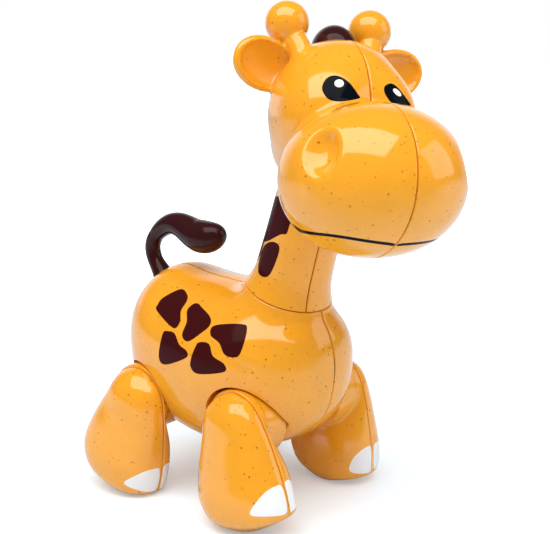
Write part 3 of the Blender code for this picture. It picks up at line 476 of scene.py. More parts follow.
def combine(piece: Piece, other: Piece, operation: str, keep: bool = False) -> None:
    """Boolean of two closed pieces.

    Args:
        piece: The piece that changes.
        other: The piece that is joined or taken out.
        operation: UNION or DIFFERENCE.
        keep: Whether the other piece stays for another use.
    """
    modifier = piece.modifiers.new(operation, "BOOLEAN")
    modifier.operation = operation
    modifier.solver = "MANIFOLD"
    modifier.object = other
    settle(piece)
    if not keep:
        bpy.data.objects.remove(other, do_unlink=True)


def cut(piece: Piece, *cutters: Piece) -> Piece:
    """Takes closed pieces out of a closed piece, one after another."""
    for cutter in cutters:
        combine(piece, cutter, "DIFFERENCE")
    return piece


def twin(piece: Piece, name: str, place: Matrix) -> Piece:
    """Copies a piece under a matrix, and keeps its faces outwards if the matrix mirrors.

    Args:
        piece: The piece to copy.
        name: Name of the copy.
        place: The matrix.

    Returns:
        The copy.
    """
    mesh = piece.data.copy()
    mesh.transform(place)
    if place.determinant() < 0:
        mesh.flip_normals()
    return placed(name, mesh)


def both_halves(pattern: Piece, name: str, place: Matrix) -> dict[Side, Piece]:
    """Makes both moulded halves from a pattern of the left one, and removes the pattern.

    Args:
        pattern: The left half, in its own frame.
        name: What the halves' names start with.
        place: The frame.

    Returns:
        The halves, in place.
    """
    halves = {
        Side.LEFT: twin(pattern, f"{name}_left", place),
        Side.RIGHT: twin(pattern, f"{name}_right", place @ MIRROR),
    }
    bpy.data.objects.remove(pattern, do_unlink=True)
    return halves


def rows_of(piece: Piece, kind: str) -> Numbers:
    """Places or normals of a piece's points, one a row; kind is co or normal."""
    numbers = np.empty(len(piece.data.vertices) * 3)
    piece.data.vertices.foreach_get(kind, numbers)
    return numbers.reshape(-1, 3)


# Node trees
@dataclass
class NodeWriter:
    """Adds nodes to a tree and joins them up."""

    tree: bpy.types.NodeTree

    def add(
        self, kind: str, settings: Optional[dict[str, object]] = None, **inputs: object
    ) -> bpy.types.Node:
        """Adds a node.

        Args:
            kind: Blender's type name of the node.
            settings: Values of the node's own properties.
            inputs: Sockets or values for its inputs, by name, with _ for a space.

        Returns:
            The new node.
        """
        node = self.tree.nodes.new(kind)
        for key, value in (settings or {}).items():
            setattr(node, key, value)
        for key, value in inputs.items():
            self.feed(node.inputs[key.replace("_", " ")], value)
        return node

    def feed(self, socket: Socket, value: object) -> None:
        """Links another socket to an input, or sets the input's value."""
        if isinstance(value, Socket):
            self.tree.links.new(value, socket)
        else:
            socket.default_value = value

    def math(self, operation: str, *values: object, clamp: bool = False) -> Socket:
        """Adds a Math node.

        Args:
            operation: What it works out.
            values: Sockets or numbers that it reads.
            clamp: Whether its result is kept from 0 to 1.

        Returns:
            Its result.
        """
        node = self.add("ShaderNodeMath", {"operation": operation, "use_clamp": clamp})
        for socket, value in zip(node.inputs, values):
            self.feed(socket, value)
        return node.outputs[0]

    def vector(self, operation: str, *values: object) -> bpy.types.NodeOutputs:
        """Adds a Vector Math node that reads the given sockets or vectors, and gives its outputs."""
        node = self.add("ShaderNodeVectorMath", {"operation": operation})
        for socket, value in zip(node.inputs, values):
            self.feed(socket, value)
        return node.outputs

    def noise(self, where: Socket, sizes: Sequence[float]) -> bpy.types.NodeOutputs:
        """Adds a noise texture with the given scale, detail and roughness, and gives its outputs."""
        settings = dict(zip(("Scale", "Detail", "Roughness"), sizes))
        return self.add("ShaderNodeTexNoise", Vector=where, **settings).outputs

    def between(self, first: object, second: object, share: object) -> Socket:
        """Number that goes from the first to the second as share goes from 0 to 1."""
        return self.math("MULTIPLY_ADD", self.math("SUBTRACT", second, first), share, first)

    def mix(self, share: object, first: object, second: object) -> Socket:
        """Mixes two colours.

        Args:
            share: Share of the second colour.
            first: The first colour.
            second: The second colour.

        Returns:
            The mixed colour.
        """
        node = self.add("ShaderNodeMix", {"data_type": "RGBA"}, Factor=share)
        colours = [socket for socket in node.inputs if socket.type == "RGBA"]
        for socket, value in zip(colours, (first, second)):
            self.feed(socket, value)
        return next(socket for socket in node.outputs if socket.type == "RGBA")

    def band(
        self, value: Socket, low: float, high: float, from_value: float = 0.0, to_value: float = 1.0
    ) -> Socket:
        """Number that goes smoothly from one value to another.

        Args:
            value: The number that it follows.
            low: Where it leaves the first value.
            high: Where it reaches the second.
            from_value: The first value.
            to_value: The second value.

        Returns:
            The result.
        """
        node = self.add(
            "ShaderNodeMapRange",
            {"interpolation_type": "SMOOTHSTEP"},
            Value=value,
            From_Min=low,
            From_Max=high,
            To_Min=from_value,
            To_Max=to_value,
        )
        return node.outputs["Result"]


def blank_nodes(owner: bpy.types.ID) -> NodeWriter:
    """Empties the node tree of a material or a world, and gives a writer for it."""
    owner.use_nodes = True
    owner.node_tree.nodes.clear()
    return NodeWriter(owner.node_tree)


def open_sockets(tree: bpy.types.NodeTree, way: str, kinds: dict[str, str]) -> dict[str, str]:
    """Gives a tree its named inputs or outputs.

    Args:
        tree: The tree.
        way: INPUT or OUTPUT.
        kinds: Blender's socket type for each name.

    Returns:
        The identifier of each socket, by name.
    """
    names = {}
    for label, kind in kinds.items():
        names[label] = tree.interface.new_socket(name=label, in_out=way, socket_type=kind).identifier
    return names


RadiusRule = Callable[[NodeWriter, Socket, dict[str, Socket]], Socket]


@dataclass
class Sweep:
    """Round section swept along a line by Geometry Nodes, with a rule for its radius."""

    name: str
    sizes: dict[str, float]
    rule: RadiusRule
    sides: int
    flatness: float

    def tree(self) -> tuple[bpy.types.NodeTree, dict[str, str]]:
        """Builds the node tree.

        Returns:
            The tree, and the identifier of each of its inputs by name.
        """
        tree = bpy.data.node_groups.new(self.name, "GeometryNodeTree")
        shape = {"Geometry": "NodeSocketGeometry"}
        kinds = dict.fromkeys(list(self.sizes) + ["Flatness"], "NodeSocketFloat")
        kinds |= {"Sides": "NodeSocketInt", "Finish": "NodeSocketMaterial"}
        names = open_sockets(tree, "INPUT", shape | kinds)
        open_sockets(tree, "OUTPUT", shape)
        nodes = NodeWriter(tree)
        start = nodes.add("NodeGroupInput").outputs
        share = nodes.add("GeometryNodeInputNamedAttribute", {"data_type": "FLOAT"}, Name="share")
        radius = self.rule(nodes, share.outputs["Attribute"], {label: start[label] for label in self.sizes})
        curve = nodes.add("GeometryNodeMeshToCurve", Mesh=start["Geometry"]).outputs[0]
        ring = nodes.add("GeometryNodeCurvePrimitiveCircle", Resolution=start["Sides"], Radius=1.0).outputs[0]
        swept = nodes.add(
            "GeometryNodeCurveToMesh", Curve=curve, Profile_Curve=ring, Scale=radius, Fill_Caps=True
        ).outputs[0]
        swept = nodes.add("GeometryNodeMergeByDistance", Geometry=swept, Distance=WELD).outputs[0]
        scale = nodes.add("ShaderNodeCombineXYZ", X=1.0, Y=start["Flatness"], Z=1.0).outputs[0]
        swept = nodes.add("GeometryNodeTransform", Geometry=swept, Scale=scale).outputs[0]
        swept = nodes.add("GeometryNodeRealizeInstances", Geometry=swept).outputs[0]
        swept = nodes.add("GeometryNodeSetMaterial", Geometry=swept, Material=start["Finish"]).outputs[0]
        nodes.add("NodeGroupOutput", Geometry=swept)
        return tree, names

    def run(self, name: str, line: Numbers, shares: Numbers, finish: Optional[Material]) -> Piece:
        """Sweeps the section along a line.

        Args:
            name: Name of the new object.
            line: Points of the line.
            shares: Place of each point along the line, as the radius rule reads it.
            finish: Its material, or None for a cutter.

        Returns:
            A plain closed mesh object.
        """
        mesh = bpy.data.meshes.new(name)
        mesh.from_pydata(line.tolist(), [(i, i + 1) for i in range(len(line) - 1)], [])
        mesh.attributes.new("share", "FLOAT", "POINT").data.foreach_set("value", shares.astype(np.float32))
        piece = placed(name, mesh)
        modifier = piece.modifiers.new(self.name, "NODES")
        modifier.node_group, names = self.tree()
        values = {**self.sizes, "Flatness": self.flatness, "Sides": self.sides, "Finish": finish}
        for label, value in values.items():
            if value is not None:
                modifier[names[label]] = value
        settle(piece)
        work = bmesh.new()
        work.from_mesh(piece.data)
        bmesh.ops.recalc_face_normals(work, faces=work.faces)
        work.to_mesh(piece.data)
        work.free()
        return piece


# Joint frames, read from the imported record
@dataclass
class ToyFrames:
    """Frames of the moving bodies at rest, worked out from the record's joints."""

    neck_turn: float = math.radians(-25.7)
    front_right_swing: float = math.radians(15)
    rear_right_swing: float = math.radians(-15)
    joints: dict[str, tuple[Vector, Vector]] = field(default_factory=dict)

    def __post_init__(self) -> None:
        """Reads each joint's point and axis."""
        for joint in frame["joints"]:
            self.joints[joint["name"]] = (Vector(joint["pos_m"]), Vector(joint["axis"]))

    def toy(self) -> Matrix:
        """Frame of the body, on the floor midway between the hips."""
        front = self.joints["front_left_hip_swing"][0]
        rear = self.joints["rear_left_hip_swing"][0]
        middle = (front + rear) / 2
        return Matrix.Translation((middle.x, middle.y, 0))

    def lean(self) -> float:
        """How far the neck's base leans forward."""
        axis = self.joints["neck_turn"][1]
        return math.atan2(axis.x, axis.z)

    def neck_base(self) -> Matrix:
        """Frame on the collar, before the neck's turn."""
        return Matrix.Translation(self.joints["neck_turn"][0]) @ Matrix.Rotation(self.lean(), 4, "Y")

    def neck(self) -> Matrix:
        """Frame of the neck, turned with it."""
        return self.neck_base() @ Matrix.Rotation(self.neck_turn, 4, "Z")

    def head(self) -> Matrix:
        """Frame of the head, +X to the nose."""
        place = Matrix.Translation(self.joints["head_turn"][0])
        turn = (self.neck() @ Matrix.Rotation(-self.lean(), 4, "Y")).to_3x3().to_4x4()
        return place @ turn

    def tail(self) -> Vector:
        """Point where the tail leaves the rump."""
        return self.joints["tail_turn"][0]

    def onto_right(self, place: Matrix, side: Side) -> Matrix:
        """Matrix that takes a half to the right side, which the photograph shows."""
        return place @ MIRROR @ place.inverted() if side is Side.LEFT else Matrix.Identity(4)

    def leg(self, end: str, side: Side) -> Matrix:
        """Frame of a leg, on the hip's axis in the middle of the body.

        Args:
            end: front or rear.
            side: Side of the leg.

        Returns:
            The leg's frame, swung as it stands.
        """
        swings = {("front", Side.RIGHT): self.front_right_swing, ("rear", Side.RIGHT): self.rear_right_swing}
        spot = self.joints[f"{end}_{side.name.lower()}_hip_swing"][0]
        return Matrix.Translation(spot) @ Matrix.Rotation(-swings.get((end, side), 0.0), 4, "Y")


FRAMES = ToyFrames()


# The photographed view, and the prints placed by it
@dataclass(frozen=True)
class PhotoCamera:
    """Camera that sees the toy as the photograph does."""

    azimuth: float = math.radians(41.6)
    elevation: float = math.radians(13.4)
    roll: float = math.radians(-1.7)
    distance: float = 0.3568
    aim: Triple = (0.0164, 0.0004, 0.06935)
    focal_pixels: float = 1254.0
    picture: tuple[int, int] = (550, 534)
    sensor: float = 36.0

    def place(self) -> Matrix:
        """Frame of the camera: +X right, +Y up and +Z back in the picture."""
        a, e = self.azimuth, self.elevation
        back = Vector((math.sin(a) * math.cos(e), -math.cos(a) * math.cos(e), math.sin(e)))
        right = Vector((math.cos(a), math.sin(a), 0))
        up = back.cross(right)
        rolled = math.cos(self.roll) * right + math.sin(self.roll) * up
        turn = Matrix((rolled, back.cross(rolled), back)).transposed()
        spot = FRAMES.toy().translation + Vector(self.aim) + back * self.distance
        return Matrix.Translation(spot) @ turn.to_4x4()

    def pixels(self, points: Numbers) -> tuple[Numbers, Numbers]:
        """Where points are seen.

        Args:
            points: Points, one a row.

        Returns:
            Their pixel coordinates, and how many pixels a metre spans at each.
        """
        local = into(points, self.place())
        scale = self.focal_pixels / -local[:, 2]
        middle = np.array(self.picture) / 2
        return middle + local[:, :2] * scale[:, None] * np.array((1, -1)), scale

    def on_middle(self, pixel: Sequence[float]) -> Vector:
        """Finds the point of the body's plane of symmetry that a pixel shows.

        Args:
            pixel: Pixel coordinates in the photograph.

        Returns:
            The point.
        """
        place = self.place()
        right, down = (np.array(pixel) - np.array(self.picture) / 2) / self.focal_pixels
        ray = place.to_3x3() @ Vector((right, -down, -1))
        spot = place.translation
        return spot + ray * ((FRAMES.toy().translation.y - spot.y) / ray.y)

    def towards(self) -> Vector:
        """Direction from the toy to the camera."""
        return self.place().to_3x3() @ UP

    def facing(self, points: Numbers, normals: Numbers) -> Numbers:
        """Cosine between each normal and the line to the camera."""
        sight = np.array(self.place().translation) - points
        return (sight * normals).sum(1) / np.linalg.norm(sight, axis=1)

    def build(self) -> None:
        """Builds the camera."""
        data = bpy.data.cameras.new("photo_camera")
        data.sensor_fit = "HORIZONTAL"
        data.sensor_width = self.sensor
        data.lens = self.focal_pixels / self.picture[0] * self.sensor
        camera = placed("photo_camera", data)
        camera.matrix_world = self.place()
        bpy.context.scene.camera = camera


CAMERA = PhotoCamera()


@dataclass(frozen=True)
class Mark:
    """One printed mark, by the pixels of its outline in the photograph.

    A mark with a width is a line, and its pixels lie along it.
    """

    ink: Ink
    outline: tuple[Pair, ...]
    width: float = 0.0
    taper: float = 6.0
    limit: float = 0.06
    curve_steps: int = 8

    def rounded(self) -> Numbers:
        """Draws a smooth curve through the mark's pixels.

        Returns:
            Points of the curve, in pixels.
        """
        corners = np.array(self.outline, float)
        if not self.width:
            corners = np.vstack([corners[-1:], corners, corners[:2]])
        spots, curve = table_curves(corners, self.curve_steps * len(corners) + 1)
        if self.width:
            return curve
        first, last = 1 / (len(corners) - 1), (len(corners) - 2) / (len(corners) - 1)
        return curve[(spots >= first) & (spots < last)]

    def values(self, points: Numbers, normals: Numbers) -> Numbers:
        """Rule of the mark on a surface: below zero where the ink is.

        Args:
            points: Points of the surface, as the photograph sees them.
            normals: Its normals there.

        Returns:
            Values of the rule, in metres.
        """
        seen, scale = CAMERA.pixels(points)
        line = self.rounded()
        reach = self.width + FAR * scale.max()
        near = ((seen > line.min(0) - reach) & (seen < line.max(0) + reach)).all(1)
        near &= CAMERA.facing(points, normals) > self.limit
        result = np.full(len(points), FAR)
        spots = seen[near]
        ends = np.roll(line, -1, axis=0)
        starts = line if not self.width else line[:-1]
        ends = ends if not self.width else line[1:]
        nearest = np.full(len(spots), np.inf)
        along = np.zeros(len(spots))
        odd = np.zeros(len(spots), bool)
        for i, (start, end) in enumerate(zip(starts, ends)):
            edge = end - start
            share = np.clip((spots - start) @ edge / max(edge @ edge, FUZZ), 0, 1)
            gap = np.linalg.norm(spots - start - share[:, None] * edge, axis=1)
            along = np.where(gap < nearest, (i + share) / len(starts), along)
            nearest = np.minimum(gap, nearest)
            crosses = (start[1] > spots[:, 1]) != (end[1] > spots[:, 1])
            rise = edge[1] if edge[1] else FUZZ
            odd ^= crosses & (spots[:, 0] < start[0] + (spots[:, 1] - start[1]) / rise * edge[0])
        if self.width:
            ends_in = np.minimum(along, 1 - along) * len(starts)
            half = self.width / 2 * np.clip(ends_in / self.taper, 0, 1) ** 0.5
            signed = nearest - half
        else:
            signed = np.where(odd, -nearest, nearest)
        result[near] = np.clip(signed / scale[near], -FAR, FAR)
        return result


def shared_prints(piece: Piece, views: Sequence[tuple[Matrix, Sequence[Mark]]]) -> dict[Ink, Numbers]:
    """Values of every ink on a piece.

    Args:
        piece: The piece, in place.
        views: Marks, each set with the matrix that takes the piece to where the photograph shows them.

    Returns:
        For each ink, a value at each point of the mesh, below zero where it is printed.
    """
    points, normals = rows_of(piece, "co"), rows_of(piece, "normal")
    inks = {ink: np.full(len(points), FAR) for ink in Ink}
    for matrix, marks in views:
        there = out_of(points, matrix)
        facing = normals @ np.array(matrix.to_3x3()).T
        for mark in marks:
            inks[mark.ink] = np.minimum(inks[mark.ink], mark.values(there, facing))
    return inks


def print_on(piece: Piece, inks: dict[Ink, Numbers]) -> None:
    """Stores the values of every ink on a piece, for its material.

    Args:
        piece: The piece.
        inks: For each ink, a value at each point of the mesh.
    """
    for ink, values in inks.items():
        attribute = piece.data.attributes.new(ink.value, "FLOAT", "POINT")
        attribute.data.foreach_set("value", values.astype(np.float32))


# Finishes
@dataclass(frozen=True)
class MouldedSurface:
    """Shared group: moulded plastic with slow mottling, fine specks and a faint ripple.

    Each noise has a scale, a detail and a roughness.
    """

    slow_noise: Triple = (140.0, 3.0, 0.6)
    fine_noise: Triple = (1500.0, 2.0, 0.5)
    ripple_noise: Triple = (260.0, 1.0, 0.4)
    bend_noise: Triple = (2200.0, 1.0, 0.5)
    bend: float = 0.0003
    speck_scale: float = 560.0
    speck_sizes: Pair = (1.2, 0.4)
    speck_tones: Pair = (0.7, 0.3)
    speck_edge: float = 0.45
    fine_mottling: float = 0.5
    worn: Pair = (0.45, 0.75)
    rough_spread: float = 0.06
    fine_relief: float = 0.12

    def group(self) -> bpy.types.NodeTree:
        """Gives the group, which is made on the first call.

        Returns:
            The group, with inputs for a material's own values.
        """
        if "moulded_surface" in bpy.data.node_groups:
            return bpy.data.node_groups["moulded_surface"]
        tree = bpy.data.node_groups.new("moulded_surface", "ShaderNodeTree")
        numbers = ("Speck Size", "Speck Amount", "Mottling", "Roughness", "Wear")
        colours = dict.fromkeys(("Colour", "Speck Colour"), "NodeSocketColor")
        open_sockets(tree, "INPUT", colours | dict.fromkeys(numbers, "NodeSocketFloat"))
        results = {"Colour": "NodeSocketColor", "Roughness": "NodeSocketFloat", "Height": "NodeSocketFloat"}
        open_sockets(tree, "OUTPUT", results)
        nodes = NodeWriter(tree)
        start = nodes.add("NodeGroupInput").outputs
        where = nodes.add("ShaderNodeTexCoord").outputs["Object"]
        slow = nodes.noise(where, self.slow_noise)[0]
        fine = nodes.noise(where, self.fine_noise)[0]
        ripple = nodes.noise(where, self.ripple_noise)[0]
        off_middle = nodes.math("SUBTRACT", fine, 0.5)
        tone = nodes.math("MULTIPLY", nodes.math("SUBTRACT", slow, 0.5), start["Mottling"])
        share = nodes.math("MULTIPLY", start["Mottling"], self.fine_mottling)
        tone = nodes.math("MULTIPLY_ADD", off_middle, share, tone)
        value = nodes.math("ADD", 1.0, tone)
        tinted = nodes.add("ShaderNodeHueSaturation", Color=start["Colour"], Value=value).outputs["Color"]
        speck = nodes.math("MULTIPLY", self.specks(nodes, where, start["Speck Size"]), start["Speck Amount"])
        rough = nodes.math("MULTIPLY_ADD", off_middle, self.rough_spread, start["Roughness"])
        rough = nodes.math("MULTIPLY_ADD", nodes.band(slow, *self.worn), start["Wear"], rough)
        height = nodes.math("MULTIPLY_ADD", fine, self.fine_relief, ripple)
        colour = nodes.mix(speck, tinted, start["Speck Colour"])
        nodes.add("NodeGroupOutput", Colour=colour, Roughness=rough, Height=height)
        return tree

    def specks(self, nodes: NodeWriter, where: Socket, size: Socket) -> Socket:
        """Mask of small uneven specks.

        Args:
            nodes: Writer of the group.
            where: Place on the piece.
            size: Radius of a speck of middling size.

        Returns:
            How strongly each place is a speck, from 0 to 1.
        """
        shift = nodes.noise(where, self.bend_noise)["Color"]
        bent = nodes.vector("MULTIPLY_ADD", shift, (self.bend, self.bend, self.bend), where)[0]
        cells = nodes.add("ShaderNodeTexVoronoi", {"feature": "F1"}, Vector=bent, Scale=self.speck_scale)
        lot = nodes.add("ShaderNodeSeparateColor", Color=cells.outputs["Color"]).outputs
        radius = nodes.math("MULTIPLY", size, self.speck_scale)
        radius = nodes.math("MULTIPLY", radius, nodes.math("MULTIPLY_ADD", lot["Red"], *self.speck_sizes))
        inside = nodes.math("DIVIDE", cells.outputs["Distance"], radius)
        inside = nodes.math("SUBTRACT", 1, inside, clamp=True)
        tone = nodes.math("MULTIPLY_ADD", lot["Green"], *self.speck_tones)
        return nodes.math("MULTIPLY", nodes.band(inside, 0.0, self.speck_edge), tone)


@dataclass(frozen=True)
class Finish:
    """One material of the toy."""

    name: str
    colour: Triple
    roughness: float
    speck_colour: Triple = (0.30, 0.07, 0.008)
    speck_size: float = 0.00027
    speck_amount: float = 0.0
    mottling: float = 0.08
    wear: float = 0.04
    metallic: float = 0.0
    relief: float = 0.00002
    specular: float = 0.5
    coat: float = 0.0
    coat_roughness: float = 0.10
    coat_index: float = 1.65
    ink_coat: float = 0.0
    inks: tuple[tuple[Ink, Triple], ...] = ()
    ink_roughness: float = 0.10
    ink_edge: float = 0.00004

    def build(self) -> Material:
        """Builds the material.

        Returns:
            The new material.
        """
        material = bpy.data.materials.new(self.name)
        nodes = blank_nodes(material)
        surface = nodes.add(
            "ShaderNodeGroup",
            {"node_tree": MouldedSurface().group()},
            Colour=(*self.colour, 1),
            Speck_Colour=(*self.speck_colour, 1),
            Speck_Size=self.speck_size,
            Speck_Amount=self.speck_amount,
            Mottling=self.mottling,
            Roughness=self.roughness,
            Wear=self.wear,
        )
        colour, rough, height = (surface.outputs[label] for label in ("Colour", "Roughness", "Height"))
        coat: object = self.coat
        for ink, tint in self.inks:
            spread = nodes.add("ShaderNodeAttribute", {"attribute_name": ink.value}).outputs["Fac"]
            mask = nodes.band(spread, -self.ink_edge, self.ink_edge, 1.0, 0.0)
            colour = nodes.mix(mask, colour, (*tint, 1))
            rough = nodes.between(rough, self.ink_roughness, mask)
            coat = nodes.between(coat, self.ink_coat, mask)
            height = nodes.math("ADD", height, mask)
        bump = nodes.add("ShaderNodeBump", Height=height, Strength=1.0, Distance=self.relief)
        shader = nodes.add(
            "ShaderNodeBsdfPrincipled",
            Base_Color=colour,
            Roughness=rough,
            Normal=bump.outputs["Normal"],
            Metallic=self.metallic,
            Specular_IOR_Level=self.specular,
            Coat_Weight=coat,
            Coat_Roughness=self.coat_roughness,
            Coat_IOR=self.coat_index,
        )
        nodes.add("ShaderNodeOutputMaterial", Surface=shader.outputs["BSDF"])
        return material


INKS = (
    (Ink.BROWN, (0.050, 0.006, 0.007)),
    (Ink.DARK, (0.003, 0.005, 0.010)),
    (Ink.WHITE, (0.93, 0.93, 0.94)),
)
ORANGE = Finish(
    "orange_plastic",
    (0.94, 0.388, 0.021),
    0.20,
    speck_amount=0.9,
    mottling=0.16,
    specular=0.03,
    coat=1.0,
    ink_coat=0.03,
    inks=INKS,
)
BROWN = Finish(
    "brown_plastic",
    (0.036, 0.007, 0.008),
    0.11,
    speck_colour=(0.010, 0.003, 0.003),
    speck_amount=0.3,
    specular=0.20,
)
WHEEL = Finish("wheel_plastic", (0.80, 0.79, 0.75), 0.38, speck_colour=(0.55, 0.52, 0.46), speck_amount=0.2)
SPRING = Finish("spring_plastic", (0.35, 0.35, 0.36), 0.42, speck_colour=(0.20, 0.20, 0.21), speck_amount=0.2)
STEEL = Finish(
    "screw_steel", (0.56, 0.56, 0.57), 0.30, speck_colour=(0.35, 0.35, 0.36), speck_amount=0.3, metallic=1.0
)
FINISHES: dict[str, Material] = {}


def finish_of(finish: Finish) -> Material:
    """The material of a finish, built on its first use."""
    if finish.name not in FINISHES:
        FINISHES[finish.name] = finish.build()
    return FINISHES[finish.name]


def set_up(piece: Piece, name: str, node: str, body: str, finish: Finish) -> None:
    """Names, dresses and hands over a finished piece.

    Args:
        piece: The piece, in place.
        name: Its name in the scene.
        node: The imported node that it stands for.
        body: The body that it rides on.
        finish: Its finish.
    """
    piece.name = name
    piece.data.name = name
    piece.data.materials.clear()
    piece.data.materials.append(finish_of(finish))
    piece.data.polygons.foreach_set("use_smooth", [True] * len(piece.data.polygons))
    piece.data.set_sharp_from_angle(angle=CREASE)
    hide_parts(node)
    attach(piece, body)
    LOG.info("%s stands for %s on %s: %d points", name, node, body, len(piece.data.vertices))


def dress_halves(halves: dict[Side, Piece], part: str) -> None:
    """Hands over the two orange halves of the body, the neck or the head.

    Args:
        halves: The halves, in place.
        part: body, neck or head.
    """
    for side, half in halves.items():
        name = side.name.lower()
        set_up(half, f"{part}_half_{name}", f"{part}_shell_{name}", part, ORANGE)


@dataclass
class ClickUnit:
    """Sizes that the shells share with the toothed wheels inside."""

    plate: float = 0.0023
    hub_radius: float = 0.0036
    key_radius: float = 0.0020
    wheel_thickness: float = 0.0022
    wheel_reach: float = 0.0059
    flange_radius: float = 0.0042
    flange_thickness: float = 0.0013
    bore_radius: float = 0.0015
    room_depth: float = 0.0090
    root: float = 0.0008

    def dress_inner(self) -> None:
        """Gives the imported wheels, springs, screws and ring their materials; their shapes stay."""
        for name, node in frame["nodes"].items():
            if node.hide_render:
                continue
            finish = STEEL if "screw" in name else SPRING if "spring" in name else WHEEL
            node.data.materials.clear()
            node.data.materials.append(finish_of(finish))
            LOG.info("%s keeps its shape and gets %s", name, finish.name)

    def hub(self, place: Matrix, flanged: bool) -> Piece:
        """Builds a hub that goes through the plate and carries a wheel.

        Args:
            place: The unit's frame, on the plate's outer face, +Z inwards.
            flanged: Whether it ends in a flange over the wheel.

        Returns:
            The hub, as a solid of its own.
        """
        floor = self.plate + RUNNING_GAP / 2
        top = self.plate + 2 * RUNNING_GAP + self.wheel_thickness
        profile = [(0, -self.root), (self.hub_radius, -self.root), (self.hub_radius, floor)]
        profile += [(self.key_radius, floor), (self.key_radius, top)]
        if flanged:
            profile += [(self.flange_radius, top), (self.flange_radius, top + self.flange_thickness)]
            top += self.flange_thickness
        return turned("hub", profile + [(0, top)], place)


